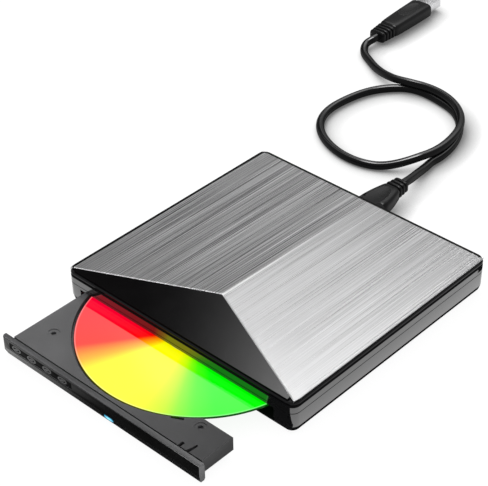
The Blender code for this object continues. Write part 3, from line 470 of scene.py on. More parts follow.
def tray_grain():
    """Grained plastic with painted shade, darker towards the right and low in the recess, and a
    painted sheen that weakens towards the right; the end wall catches the light as a painted glow.
    """
    mat = fine_plastic("tray_grain", (0.078, 0.078, 0.080), 0.42, grain=0.35, depth=0.012,
                       across=((-61.0, 61.0), (1.0, 0.34)), deep=((9.2, 10.0), (0.85, 1.0)))
    end = mat.remap(mat.normal()[0], (0.6, 0.8))
    x = mat.xyz()[0]
    sheen = mat.add(mat.remap(x, (-20.0, 61.0), to=(0.5, 0.30)), mat.mul(end, 0.5))
    mat.set(Specular_IOR_Level=sheen,
            Emission_Color=(1.0, 1.0, 1.0),
            Emission_Strength=mat.mul(end, mat.math("GREATER_THAN", x, 60.5), 0.028))
    return mat


def jacket(name, base, top):
    """Black vinyl with a painted highlight: its sheen goes from base to top on upward faces, with
    none at the silhouette.
    """
    mat = fine_plastic(name, (0.005, 0.005, 0.0053), 0.17, grain=0.22, depth=0.003)
    facing = mat.node("LayerWeight", Blend=0.5).outputs["Facing"]
    sheen = mat.remap(mat.normal()[2], (0.80, 0.91), to=(base, top), smooth=True)
    silhouette = mat.remap(facing, (0.45, 0.85), to=(1.0, 0.0), smooth=True)
    mat.set(Specular_IOR_Level=mat.mul(sheen, silhouette))
    return mat


# degrees round the hub (0 = straight ahead, + towards the right), colour
YELLOW, GREEN, VIOLET = (1, 1, 0.0), (0, 1, 0.0), (0.45, 0.05, 0.9)
HUES = [
    (-180, VIOLET), (-140, (0.9, 0.0, 0.5)), (-95, (1, 0.0, 0.06)), (-37, (1, 0.0, 0.0)),
    (-26, (1, 0.45, 0.0)), (-18, YELLOW), (14, YELLOW), (27, (0.58, 1, 0.0)),
    (33, (0.24, 1, 0.0)), (40, (0.06, 1, 0.0)), (50, GREEN), (95, GREEN),
    (125, (0, 0.8, 0.9)), (160, (0.1, 0.2, 1.0)), (180, VIOLET)]


def disc_hue(mat):
    """Painted reflection: the disc's rainbow hues fan out round the hub in the tray's frame, so
    they stay put as the disc turns.
    """
    coords = mat.node("TexCoord")
    coords.object = frame["bodies"]["tray"]
    centre = (0.0, DISC_Y - ORIGIN_Y, 0.0)
    x, y, _ = mat.split(mat.vmath("SUBTRACT", mat.to_mm(coords.outputs["Object"]), centre))
    angle = mat.math("ARCTAN2", x, mat.mul(y, -1.0))
    ramp = mat.node("ValToRGB", mat.remap(angle, (-math.pi, math.pi)))
    elements = ramp.color_ramp.elements
    while len(elements) < len(HUES):
        elements.new(0.5)
    for element, (degrees, colour) in zip(elements, HUES):
        element.position = 0.5 + degrees / 360.0
        element.color = (*colour, 1.0)
    return ramp.outputs[0]


def disc_face():
    """Iridescent disc in painted light: glowing hues in bands by radius, and a pale veil in front
    of the case that is a painted reflection.
    """
    mat = Material("disc_face", Specular_IOR_Level=0.25)
    hue = disc_hue(mat)
    x, y, z = mat.split(mat.vmath("SUBTRACT", mat.mm, (0.0, DISC_Y - ORIGIN_Y, 0.0)))
    radius = mat.hypot(x, y)
    tracks = mat.math("SINE", mat.mul(radius, 9.0))
    position = mat.node("NewGeometry").outputs["Position"]
    world_x, world_y, _ = mat.split(mat.to_mm(position))
    # painted reflection: the disc is pale in front of the case and saturated in the strip next to
    # the case where its shadow falls
    veil = mat.remap(world_y, (-ORIGIN_Y - 6.3, -ORIGIN_Y - 5.9), to=(1.0, 0.0))
    pale = mat.mix(mat.remap(world_x, (8.0, 40.0), to=(0.085, 0.05)), hue, (1.0, 1.0, 0.84))
    data = mat.mix(veil, hue, pale)
    data = mat.tint(data, mat.remap(tracks, (-1, 1), to=(0.985, 1.0)))
    mirror = mat.mix(0.25, (0.62, 0.64, 0.66), hue)
    inner = mat.mix(0.08, (0.30, 0.31, 0.33), hue)
    # from the hub outwards: inner ring, mirror band, data area, pale line (a painted highlight),
    # dark rim
    colour = mat.mix(mat.remap(radius, (17.6, 17.9)), mirror, data)
    colour = mat.mix(mat.remap(radius, (16.4, 16.6)), inner, colour)
    line = mat.mul(mat.remap(radius, (59.05, 59.25), to=(0.0, 0.16)),
                   mat.remap(radius, (59.65, 59.75), to=(1.0, 0.0)))
    colour = mat.mix(line, colour, (1.0, 1.0, 1.0))
    rim = mat.remap(radius, (59.7, 59.8))
    colour = mat.mix(rim, colour, mat.tint(hue, 0.16))
    # painted light: the disc glows in its hues; the glow is weaker low on the edge, inside the data
    # area and on the rim
    glow = mat.mul(mat.remap(z, (8.2, 9.3), to=(0.15, 1.0)),
                   mat.mul(mat.remap(radius, (17.6, 17.9), to=(0.25, 0.80)),
                           mat.remap(rim, (0, 1), to=(1.0, 0.5))))
    mat.set(Base_Color=mat.tint(colour, 0.30),
            Emission_Color=colour,
            Emission_Strength=glow,
            Roughness=mat.remap(tracks, (-1, 1), to=(0.10, 0.14)))
    return mat


def board():
    """Green solder mask with gold spots."""
    mat = Material("board_solder_mask")
    noise = mat.noise(0.35, detail=2, rough=0.5)
    cells = mat.node("TexVoronoi", Scale=0.45, Vector=mat.mm).outputs["Distance"]
    spots = mat.remap(cells, (0.10, 0.16), to=(1.0, 0.0))
    mask = mat.tint((0.010, 0.085, 0.035), mat.vary(noise, 0.8, 1.25))
    mat.set(Base_Color=mat.mix(spots, mask, (0.5, 0.42, 0.18)),
            Metallic=mat.mul(spots, 0.8),
            Roughness=mat.vary(noise, 0.3, 0.45))
    return mat


def ribbon():
    """Amber film with conductor lines, 1.6 to the millimetre."""
    mat = Material("ribbon_film", Roughness=0.32)
    lines = mat.remap(mat.math("FRACT", mat.mul(mat.xyz()[0], 1.6)), (0.42, 0.5))
    mat.set(Base_Color=mat.mix(lines, (0.36, 0.16, 0.03), (0.62, 0.34, 0.09)))
    return mat


def led():
    """Blue lens that glows most in an oval round its middle."""
    mat = Material("led_lens", Roughness=0.25)
    x, _, z = mat.xyz()

    def squared(value, centre, half_size):
        return mat.math("POWER", mat.math("DIVIDE", mat.sub(value, centre), half_size), 2.0)
    distance = mat.math("SQRT", mat.add(squared(x, centre=6.2, half_size=3.0),
                                        squared(z, centre=2.3, half_size=1.3)))
    glow = mat.remap(distance, (0.0, 1.1), to=(1.0, 0.0))
    noise = mat.noise(3, detail=2, rough=0.5)
    mat.set(Base_Color=mat.mix(glow, (0.02, 0.25, 0.42), (0.35, 0.85, 1.0)),
            Emission_Color=mat.mix(glow, (0.01, 0.22, 0.42), (0.30, 0.80, 1.0)),
            Emission_Strength=mat.mul(mat.remap(glow, (0.0, 1.0), to=(0.25, 0.9)),
                                      mat.vary(noise, 0.92, 1.05)))
    return mat


def lens():
    mat = Material("pickup_lens", Roughness=0.05, Coat_Weight=1.0)
    noise = mat.noise(0.8, detail=2, rough=0.5)
    mat.set(Base_Color=mat.mix(mat.vary(noise, 0, 1), (0.25, 0.4, 0.75), (0.5, 0.55, 0.8)))
    return mat


# name, colour, roughness, then what differs from the family's defaults
MATERIALS = {
    "plate": brushed_plate(),
    "plate_edge": plate_edge(),
    "shell": shell_gloss(),
    "rim": gloss_plastic("rim_gloss", (0.0025, 0.0025, 0.003), 0.12, spec=0.12),
    "panel": panel_gloss(),
    "tray": tray_grain(),
    # painted shade: the bezel's colour darkens towards the right
    "bezel": fine_plastic("bezel_satin", (0.062, 0.062, 0.064), 0.36, grain=0.30, depth=0.006,
                          across=((-66.0, 62.0), (1.0, 0.6))),
    "bezel_gloss": gloss_plastic("bezel_gloss", (0.005, 0.005, 0.005), 0.12, ior=1.6),
    "rubber": fine_plastic("rubber_grain", (0.018, 0.018, 0.018), 0.75, grain=0.25, depth=0.03,
                           spec=0.3),
    "cable": jacket("cable_jacket", base=0.05, top=0.85),
    "plug": jacket("plug_jacket", base=0.09, top=0.24),
    "plug_panel": fine_plastic("plug_panel", (0.007, 0.007, 0.0073), 0.3, grain=0.22,
                               depth=0.003, spec=0.2),
    # painted highlight: the light line round a plug's pressed panel
    "plug_edge_highlight": fine_plastic("plug_panel_edge_highlight", (0.50, 0.50, 0.505), 0.25, grain=0.2,
                              depth=0.002),
    "bezel_low": fine_plastic("bezel_lower_band", (0.012, 0.012, 0.0125), 0.24, grain=0.3,
                              depth=0.003, spec=0.6),
    # painted light: a lighter copy of the bezel plastic for its right end face
    "lit_bezel_end": fine_plastic("lit_bezel_end", (0.12, 0.12, 0.122), 0.36, grain=0.30, depth=0.006),
    "slot": gloss_plastic("bezel_slot", (0.002, 0.002, 0.002), 0.3, spec=0.04),
    "marks": fine_plastic("raised_marks", (0.10, 0.10, 0.10), 0.3, grain=0.2, depth=0.002),
    "steel": steel("sheet_steel"),
    "rail": steel("rail_steel", (0.5, 0.5, 0.51), 0.28),
    "rod": steel("ground_rod", (0.72, 0.72, 0.73), 0.14),
    "tip": steel("plug_shell", (0.62, 0.62, 0.63), 0.24),
    "screw": steel("black_screw", (0.10, 0.10, 0.105), 0.35),
    "zinc": steel("die_cast", (0.42, 0.42, 0.44), 0.45),
    "inner": steel("shaded_steel", (0.16, 0.16, 0.165), 0.5),
    "rotor": fine_plastic("rotor_grey", (0.22, 0.22, 0.225), 0.4, grain=0.4),
    "chip": fine_plastic("chip_epoxy", (0.018, 0.018, 0.018), 0.5, grain=0.15),
    "disc": disc_face(),
    "board": board(),
    "ribbon": ribbon(),
    "led": led(),
    "lens": lens(),
}


def paint(part, *keys):
    slots = part.data.materials
    slots.clear()
    for key in keys:
        slots.append(MATERIALS[key].material)


# ---------------------------------------------------------------- lid
def corner_setback(across):
    """How far a plate corner's arc lies inside its tangent, at a distance from the middle."""
    over = across - (PLATE_HALF - PLATE_CORNER)
    if over <= 0:
        return None
    return PLATE_CORNER - math.sqrt(max(PLATE_CORNER ** 2 - over ** 2, 0))


def plate_front(x):
    across = min(abs(x), PLATE_HALF)
    y = PLATE_FRONT + (PEAK_Y - PLATE_FRONT) * (1 - across / PLATE_HALF)
    setback = corner_setback(across)
    return y if setback is None else max(y, PLATE_CORNER_FRONT + setback)


def plate_rear(x):
    return PLATE_REAR - (corner_setback(abs(x)) or 0)


def lid_height(x, y):
    across = min(abs(x) / PLATE_HALF, 1.0)
    front = PLATE_FRONT + (PEAK_Y - PLATE_FRONT) * (1 - across)
    if y >= front:
        t = (y - front) / (PLATE_REAR - front)
        return PLATE_EDGE_Z + PLATE_RISE * (1 - across) * (1 - t)
    return PLATE_EDGE_Z + PLATE_RISE * (y - PLATE_FRONT) / (PEAK_Y - PLATE_FRONT)


# columns of the plate from its edge to the middle: angles in the corner arc, then x
PLATE_ARC = (90, 78, 66, 54, 42, 30, 20, 10, 0)
PLATE_COLUMNS = [66.0, 62.0, 56.0, 50.0, 44.0, 38.0, 32.0, 26.0, 20.0, 14.0, 9.0, 5.0, 2.6, 1.4,
                 0.7]
# rows of the plate, as fractions from front to rear
PLATE_ROWS = [0.0, 0.006, 0.02, 0.05, 0.10, 0.16, 0.24, 0.33, 0.43, 0.54, 0.65, 0.76, 0.86, 0.93,
              0.97, 0.99, 1.0]
FOLD_HALF, FOLD_DROP = 1.5, 0.018    # the fold has a small radius


def plate_mesh():
    half = [PLATE_HALF - PLATE_CORNER + PLATE_CORNER * math.sin(math.radians(a))
            for a in PLATE_ARC] + PLATE_COLUMNS
    columns = [-x for x in half] + [0.0] + half[::-1]
    bm = bmesh.new()
    top, bottom = [], []
    for x in columns:
        front, rear = plate_front(x), plate_rear(x)
        top.append([])
        bottom.append([])
        for t in PLATE_ROWS:
            y = front + (rear - front) * t
            z = lid_height(x, y)
            if abs(x) < FOLD_HALF:
                z -= FOLD_DROP * (1 - abs(x) / FOLD_HALF) * (1 - t)
            top[-1].append(bm.verts.new(point(x, y, z)))
            bottom[-1].append(bm.verts.new(point(x, y, z - PLATE_THICK)))
    nx, ny = len(columns), len(PLATE_ROWS)
    for i in range(nx - 1):
        for j in range(ny - 1):
            bm.faces.new((top[i][j], top[i + 1][j], top[i + 1][j + 1], top[i][j + 1]))
            bm.faces.new((bottom[i][j], bottom[i][j + 1], bottom[i + 1][j + 1],
                          bottom[i + 1][j]))
    rim = [(i, 0) for i in range(nx)] + [(nx - 1, j) for j in range(1, ny)]
    rim += [(i, ny - 1) for i in range(nx - 2, -1, -1)] + [(0, j) for j in range(ny - 2, 0, -1)]
    for (a, b), (c, d) in zip(rim, rim[1:] + rim[:1]):
        bm.faces.new((top[a][b], top[c][d], bottom[c][d], bottom[a][b]))
    return mesh_object(bm, "lid_skin")


def build_plate():
    part = plate_mesh()
    chamfer = part.modifiers.new("edge", "BEVEL")
    chamfer.width = 0.5 * MM
    chamfer.segments = 1
    chamfer.limit_method = "ANGLE"
    chamfer.angle_limit = math.radians(50)
    chamfer.material = 1
    chamfer.use_clamp_overlap = False
    paint(part, "plate", "plate_edge")
    apply_modifiers(part)
    mesh = part.data
    shade_smooth(mesh)
    sharpen(part, 22)
    # the brushed grain's direction: U runs along Y
    grain = mesh.uv_layers.new(name="grain")
    for loop in mesh.loops:
        co = mesh.vertices[loop.vertex_index].co
        grain.data[loop.index].uv = (co.y * 5.0, co.x * 5.0)
    paint(part, "plate", "plate_edge", "rim")
    for face in mesh.polygons:
        if abs(face.normal.z) < 0.3:
            face.material_index = 1
        # only the front and right edges keep the bright edge material, whose glow is a painted
        # highlight; the others keep the black of the rim
        if face.material_index == 1 and face.normal.y > -0.12 and face.normal.x < 0.3:
            face.material_index = 2
    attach(part, "case")
    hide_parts("lid_plate")


build_plate()


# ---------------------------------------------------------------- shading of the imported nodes
def angle_group():
    """Modifier group that shades by angle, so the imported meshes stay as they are."""
    group = bpy.data.node_groups.new("shade_by_angle", "GeometryNodeTree")
    for direction in ("INPUT", "OUTPUT"):
        group.interface.new_socket("Geometry", in_out=direction,
                                   socket_type="NodeSocketGeometry")
    new, link = group.nodes.new, group.links.new
    source, result = new("NodeGroupInput"), new("NodeGroupOutput")
    merge = new("GeometryNodeMergeByDistance")
    merge.inputs["Distance"].default_value = 2e-6
    smooth_faces = new("GeometryNodeSetShadeSmooth")
    smooth_edges = new("GeometryNodeSetShadeSmooth")
    smooth_edges.domain = "EDGE"
    angle = new("GeometryNodeInputMeshEdgeAngle")
    compare = new("FunctionNodeCompare")
    compare.data_type = "FLOAT"
    compare.operation = "LESS_THAN"
    compare.inputs["B"].default_value = math.radians(32)
    link(source.outputs[0], merge.inputs["Geometry"])
    link(merge.outputs[0], smooth_faces.inputs["Geometry"])
    link(smooth_faces.outputs[0], smooth_edges.inputs["Geometry"])
    link(angle.outputs["Unsigned Angle"], compare.inputs["A"])
    link(compare.outputs[0], smooth_edges.inputs["Shade Smooth"])
    link(smooth_edges.outputs[0], result.inputs[0])
    return group


shade_by_angle = angle_group()
for node_name in NODES:
    NODES[node_name].modifiers.new("shade_by_angle", "NODES").node_group = shade_by_angle


# ---------------------------------------------------------------- disc
def build_disc():
    low, high, edge = DISC_Z0, DISC_Z1, DISC_RADIUS
    # radius, z: out along the underside, up the edge and back in over the top
    profile = [
        (7.5, low + 0.12), (7.62, low), (16.6, low), (16.9, low), (17.3, low),
        (edge - 0.35, low), (edge - 0.08, low + 0.08), (edge, low + 0.3),
        (edge, high - 0.3), (edge - 0.08, high - 0.08), (edge - 0.35, high),
        (22.8, high), (18.9, high), (18.6, high - 0.06), (17.6, high - 0.06), (17.3, high),
        (17.15, high + 0.14), (16.85, high + 0.14), (16.7, high), (7.62, high),
        (7.5, high - 0.12)]
    part = turn("disc_skin", profile, DISC_Y, segments=192)
    sharpen(part, 28)
    paint(part, "disc")
    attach(part, "spindle")
    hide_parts("disc")


build_disc()


# ---------------------------------------------------------------- plugs
def plug_ring(place, distance, width, height, rise=0.0, count=48):
    """Rounded-box section of a plug: a superellipse."""
    power = 0.52
    ring = []
    for k in range(count):
        a = 2 * math.pi * (k + 0.5) / count
        c, s = math.cos(a), math.sin(a)
        x = width / 2 * math.copysign(abs(c) ** power, c)
        z = rise + height / 2 * math.copysign(abs(s) ** power, s)
        ring.append(place @ Vector((x, distance, z)))
    return ring


# one rib of a strain relief: fraction of the pitch, fullness (0 = bottom of the groove)
RIB = ((0.03, 0.0), (0.30, 0.0), (0.34, 0.6), (0.42, 0.93), (0.55, 1.0), (0.78, 1.0),
       (0.90, 0.93), (0.97, 0.6), (1.0, 0.0))


def ribs(start, count, pitch, size, growth, rise=0.0):
    """Stations of rounded ribs; size is the first rib's (width, height), growth that per rib."""
    stations = []
    for k in range(count):
        distance = start + pitch * k
        width, height = size[0] + growth[0] * k, size[1] + growth[1] * k
        for f, full in RIB:
            stations.append((distance + pitch * f, width - 2.0 * (1 - full),
                             height - 1.6 * (1 - full), rise))
    return stations


def ellipsoid(name, centre, radii, place):
    bm = bmesh.new()
    bmesh.ops.create_uvsphere(bm, u_segments=40, v_segments=24, radius=1.0)
    for vert in bm.verts:
        local = Vector([c + q * r for c, q, r in zip(centre, vert.co, radii)])
        vert.co = point(*(place @ local))
    return mesh_object(bm, name)


def press(part, centre, radii, place, lit):
    """Press an oval panel into a plug. Its edge carries a painted highlight where lit(x, y) says,
    with x and y in the plug's frame as fractions of the ellipsoid's radii."""
    boolean(part, ellipsoid("press", centre, radii, place))
    to_plug = place.inverted()

    def local(v):
        q = to_plug @ Vector((v.x / MM, v.y / MM + ORIGIN_Y, v.z / MM))
        return Vector([(a - c) / r for a, c, r in zip(q, centre, radii)])
    bm = bmesh.new()
    bm.from_mesh(part.data)
    for face in bm.faces:
        pressed = all(abs(local(v.co).length - 1.0) < 0.02 for v in face.verts)
        face.material_index = 1 if pressed else 0
    rim = [edge for edge in bm.edges if len(edge.link_faces) == 2
           and {f.material_index for f in edge.link_faces} == {0, 1}]
    bmesh.ops.bevel(bm, geom=rim, offset=0.5 * MM, offset_type="OFFSET", segments=1, profile=0.5,
                    affect="EDGES", clamp_overlap=True, material=2)
    for face in bm.faces:
        if face.material_index == 2:
            q = local(face.calc_center_median())
            if not lit(q.x, q.y):
                face.material_index = 1
    bm.to_mesh(part.data)
    bm.free()


def build_plug(node, stations, place, centre, radii, lit):
    part = skin(node + "_skin", [plug_ring(place, *station) for station in stations])
    paint(part, "plug", "plug_panel", "plug_edge_highlight")
    press(part, centre, radii, place, lit)
    shade_smooth(part.data)
    sharpen(part, 50)
    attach(part, "lead")
    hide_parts(node)


# distance along the plug, width, height, and the section's rise where it has one
REAR_STATIONS = [
    (0.0, 15.4, 8.0), (0.25, 16.3, 8.8), (0.8, 16.8, 9.2), (8.2, 16.8, 9.3), (8.6, 16.4, 8.95),
    (8.9, 16.4, 8.95), (9.3, 16.8, 9.3), (12.5, 16.3, 9.3, 0.03), (16.0, 15.4, 9.2, 0.1),
    (19.0, 14.1, 8.95, 0.25), (21.5, 12.8, 8.6, 0.45), (23.6, 11.6, 8.1, 0.7),
    (24.8, 10.9, 7.7, 0.8), (25.1, 10.3, 7.2, 0.85),
    *ribs(start=25.2, count=3, pitch=2.8, size=(10.2, 7.4), growth=(-0.6, -0.25), rise=1.0),
    (33.6, 5.4, 4.9, 1.0)]
HOST_STATIONS = [
    (0.05, 5.6, 5.2),
    *ribs(start=-0.75, count=4, pitch=2.9, size=(11.2, 7.3), growth=(0.5, 0.2))[2:],
    (11.6, 11.4, 7.0), (12.0, 12.4, 7.9), (12.8, 13.0, 8.3), (14.5, 13.5, 8.55),
    (18.0, 13.9, 8.8), (22.0, 14.2, 9.0), (27.0, 14.5, 9.1), (32.0, 14.8, 9.2),
    (40.0, 15.1, 9.2), (47.4, 15.4, 9.2), (48.4, 15.2, 9.05), (48.9, 14.6, 8.5),
    (49.0, 14.0, 7.9)]
build_plug("rear_plug", REAR_STATIONS, REAR, centre=(-0.3, 11.7, 6.6), radii=(8.4, 15.0, 2.7),
           lit=lambda x, y: x > 0.15 or y > 0.45)
build_plug("host_plug", HOST_STATIONS, HOST, centre=(-0.4, 35.0, 6.2), radii=(7.0, 13.5, 2.4),
           lit=lambda x, y: y < -0.3 or x > 0.5)


# ---------------------------------------------------------------- lead
REAR_EXIT_Y = PORT_Y + 33.75
# from the rear plug down to the table: x from the port, y from the plug's end, z
LEAD_START = [
    (0.0, -2.5, PORT_Z + 1.0), (0.0, 1.2, PORT_Z + 1.0), (-0.8, 6.0, 8.3), (-2.2, 11.5, 6.7),
    (-3.9, 17.5, 5.1), (-5.4, 23.5, 3.7), (-6.5, 29.5, 2.8)]
# from the coil to the host plug: x, y, z
LEAD_END = [
    (-72.5, 265.8, 6.95), (-79.5, 264.6, 6.5), (-87.0, 266.1, 5.4), (-94.5, 269.1, 4.0),
    (-102.0, 272.9, 2.9), (-109.4, 277.2, 2.4), (-116.4, 281.3, 2.4), (-121.0, 286.3, 2.9),
    (-122.9, 291.4, 3.8)]


def ease(t):
    t = min(max(t, 0.0), 1.0)
    return t * t * (3 - 2 * t)


def coil_radius(a):
    """Radius of the coil at an angle in degrees, with the bulges and dents of a loose turn."""
    def bell(middle, width):
        return math.exp(-((a - middle) / width) ** 2)
    if a <= 36:
        return 40.0 + 5.4 * ((36 - a) / 56.0) ** 2
    if a <= 300:
        return (40.0 - 4.9 * bell(172, 38.0) + 5.0 * bell(300, 38.0) + 1.1 * bell(112, 15.0)
                - 0.9 * bell(80, 16.0))
    return 40.4 + 4.8 * (1 - ease((a - 314) / 60.0))


def lead_points():
    points = [(PORT_X + dx, REAR_EXIT_Y + dy, z) for dx, dy, z in LEAD_START]
    for a in range(-21, 468, 8):
        t = math.radians(a)
        r = coil_radius(a)
        z = 2.4 + 4.55 * ease((a - 296) / 38.0)    # climbs over the first turn
        points.append((LOOP_X + r * math.cos(t), LOOP_Y + r * math.sin(t), z))
    points += LEAD_END
    outside, inside = HOST @ Vector((0, -3.2, 0)), HOST @ Vector((0, 1.0, 0))
    points += [(outside.x, outside.y, outside.z - 0.2), inside]
    return [Vector(p) for p in points]


def smooth_path(points):
    """Catmull-Rom curve through the points, three steps to a span."""
    path = []
    last = len(points) - 1
    for i in range(last):
        p0, p1 = points[max(i - 1, 0)], points[i]
        p2, p3 = points[i + 1], points[min(i + 2, last)]
        for k in range(3):
            t = k / 3
            path.append(0.5 * (2 * p1 + (p2 - p0) * t + (2 * p0 - 5 * p1 + 4 * p2 - p3) * t * t
                               + (3 * p1 - p0 - 3 * p2 + p3) * t ** 3))
    path.append(points[-1])
    return path


def lead_radii(path):
    """A little thinner where two turns lie on each other."""
    along = [0.0]
    for a, b in zip(path, path[1:]):
        along.append(along[-1] + (b - a).length)
    radii = []
    for i, p in enumerate(path):
        near = min((p - q).length for q, run in zip(path, along) if abs(run - along[i]) > 25.0)
        radii.append(max(2.2, min(LEAD_RADIUS, 0.5 * near - 0.02)))
    last = len(radii) - 1
    for _ in range(4):
        radii = [min(r, (radii[max(i - 1, 0)] + r * 2 + radii[min(i + 1, last)]) / 4)
                 for i, r in enumerate(radii)]
    return radii


def build_lead():
    path = smooth_path(lead_points())
    for p in path:     # lies on the table, never in it
        p.z = max(p.z, LEAD_RADIUS + 0.02)
    rings, up = [], Vector((0, 0, 1))
    angles = [2 * math.pi * k / 24 for k in range(24)]
    for i, (p, radius) in enumerate(zip(path, lead_radii(path))):
        ahead = (path[min(i + 1, len(path) - 1)] - path[max(i - 1, 0)]).normalized()
        side = ahead.cross(up).normalized()
        upward = side.cross(ahead).normalized()
        rings.append([p + (side * math.cos(a) + upward * math.sin(a)) * radius for a in angles])
    part = skin("usb_lead_skin", rings)
    sharpen(part, 60)
    paint(part, "cable")
    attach(part, "lead")
    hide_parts("usb_lead")


build_lead()

# ---------------------------------------------------------------- bezel
BEZEL_LEFT, BEZEL_RIGHT = -66.0, 62.7
BEZEL_FRONT, BEZEL_BACK = -48.0, -44.57
BEZEL_LOW, BEZEL_TOP = 0.6, 10.1
KNEE_Z = 4.4               # below this the front steps back
LIP_Y = -47.35             # front of the lower band
END_RADIUS = 2.2           # left end, in plan
CUT_FRONT, CUT_BACK = -49.0, -43.0    # cutters that go right through


def bezel_profile():
    """Outline as (y, z)."""
    front, back, top, low = BEZEL_FRONT, BEZEL_BACK, BEZEL_TOP, BEZEL_LOW
    return [
        (back, top - 1.4), (back - 0.42, top - 1.4), (back - 0.42, top), (front + 0.45, top),
        (front + 0.14, top - 0.12), (front, top - 0.42), (front, KNEE_Z + 0.12),
        (front + 0.05, KNEE_Z - 0.1), (LIP_Y - 0.03, low + 0.35), (LIP_Y + 0.25, low),
        (back - 0.6, low), (back, 1.4)]


def shape_left_end(part):
    """Nick under the left end, and its rounded front corner."""
    nick = [(-68.0, -1.0), (-62.0, -1.0), (-62.0, 0.4), (-66.0, 3.2), (-68.0, 3.2)]
    boolean(part, slab("nick", nick, -50.0, CUT_BACK))
    centre_x, centre_y = BEZEL_LEFT + END_RADIUS, BEZEL_FRONT + END_RADIUS
    arc = []
    for degrees in range(0, 91, 10):
        t = math.radians(degrees)
        arc.append((centre_x - END_RADIUS * math.sin(t), centre_y - END_RADIUS * math.cos(t)))
    corner = [(centre_x, BEZEL_FRONT - 1.0), *arc, (BEZEL_LEFT - 1.0, centre_y),
              (BEZEL_LEFT - 1.0, BEZEL_FRONT - 1.0)]
    boolean(part, slab("end_round", corner, -1.0, 12.0, "xy"))


def add_marks(part):
    """Shallow slot with four raised rings, each with a dot in its middle."""
    front = BEZEL_FRONT
    slot = rounded_box(-60.6, -17.4, 5.35, 9.25, radius=0.5, steps=4)
    boolean(part, slab("slot", slot, front - 1.0, front + 0.32))
    for k in range(4):
        x, z = -55.6 + 10.6 * k, 7.3
        ring = slab("ring", oval(x, z, 3.0, 1.5), front + 0.1, front + 0.7)
        boolean(ring, slab("ring_hole", oval(x, z, 2.2, 0.95), front - 1.0, front + 1.0))
        boolean(part, ring, "UNION")
        dot = slab("dot", oval(x, z, 1.2, 0.42, 16), front + 0.1, front + 0.7)
        boolean(part, dot, "UNION")


def bezel_slot(face):
    """Material slot of a face, by its direction and place."""
    x, y, z = face.center / MM
    y += ORIGIN_Y
    # the right end face takes the lighter copy of the plastic, painted light
    if face.normal.x > 0.7 and x > 62.0:
        return 5
    if face.normal.y < -0.55 and z > KNEE_Z:
        if -60.7 < x < -17.3 and y > BEZEL_FRONT + 0.05 and 5.3 < z < 9.3:
            return 4 if y < BEZEL_FRONT + 0.25 else 3
        return 1
    return 2 if face.normal.y < -0.3 else 0


def build_bezel():
    part = slab("bezel_skin", bezel_profile(), BEZEL_LEFT, BEZEL_RIGHT, "yz")
    shape_left_end(part)
    add_marks(part)
    for name, outline in (
            ("led_pocket", rounded_box(3.1, 9.3, 1.3, 3.7, radius=1.19, steps=6)),
            ("button_pocket", rounded_box(16.85, 27.15, 1.25, 3.85, radius=0.5, steps=4)),
            ("pin", oval(13.7, 2.2, 0.75, 0.62, 16))):
        boolean(part, slab(name, outline, CUT_FRONT, CUT_BACK))
    shade_smooth(part.data)
    edge = part.modifiers.new("edge", "BEVEL")
    edge.width = 0.10 * MM
    edge.segments = 2
    edge.limit_method = "ANGLE"
    edge.angle_limit = math.radians(40)
    edge.harden_normals = True
    apply_modifiers(part)
    shade_smooth(part.data)
    sharpen(part, 32)
    paint(part, "bezel", "bezel_gloss", "bezel_low", "slot", "marks", "lit_bezel_end")
    for face in part.data.polygons:
        face.material_index = bezel_slot(face)
    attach(part, "tray")
    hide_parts("bezel")


build_bezel()

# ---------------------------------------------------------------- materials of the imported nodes
NODE_MATERIALS = {
    "shell": ["lower_shell", "upper_shell"],
    "rim": ["top_cover"],
    "panel": ["front_facet"],
    "rubber": ["foot_front", "foot_rear"],
    "steel": ["drive_pan", "drive_cover", "usb_socket"],
    "inner": ["mech_frame", "sled_motor"],
    "rail": ["rail_fixed_left", "rail_fixed_right", "rail_middle_left", "rail_middle_right",
             "runner_left", "runner_right"],
    "rod": ["guide_rod_front", "guide_rod_rear", "lead_screw"],
    "tip": ["rear_plug_tip", "host_plug_tip"],
    "screw": [n for n in NODES if "screw" in n and n != "lead_screw"],
    "board": ["bridge_board", "tray_board"],
    "chip": ["bridge_chip", "eject_switch", *[n for n in NODES if n.startswith("rod_clip")]],
    "ribbon": ["ribbon_cable"],
    "tray": ["tray"],
    "bezel_low": ["eject_button"],
    "led": ["led_lens"],
    "rotor": ["spindle_motor", "turntable"],
    "zinc": ["pickup_sled"],
    "lens": ["pickup_lens"],
}
for key, node_names in NODE_MATERIALS.items():
    for node_name in node_names:
        paint(NODES[node_name], key)


# ---------------------------------------------------------------- stage (metres)
def stage_plane(name, x0, x1, y0, y1, z):
    bm = bmesh.new()
    bm.faces.new([bm.verts.new((x, y, z)) for x, y in ((x0, y0), (x1, y0), (x1, y1), (x0, y1))])
    part = mesh_object(bm, name, smooth=False)
    return part


def studio_floor():
    """White floor that lights itself; a soft contact shadow shows only behind the case."""
    mat = Material("studio_floor", Roughness=1.0, Specular_IOR_Level=0.0)
    y = mat.xyz()[1]
    # tilted normal, so the shadow falls to the right of what stands there
    occlusion = mat.node("AmbientOcclusion", Distance=0.0125, Normal=mat.comb(-0.60, 0.02, 0.80))
    occlusion.samples = 12
    behind = mat.remap(y, (137.0, 149.0), smooth=True)
    shade = mat.remap(occlusion.outputs["AO"], (0.36, 0.97), to=(0.13, 1.0))
    shade = mat.invert(mat.mul(behind, mat.invert(shade)))
    mat.set(Base_Color=(0.13, 0.13, 0.13),
            Emission_Color=mat.tint((1.0, 1.0, 1.0), shade),
            Emission_Strength=0.91)
    return mat


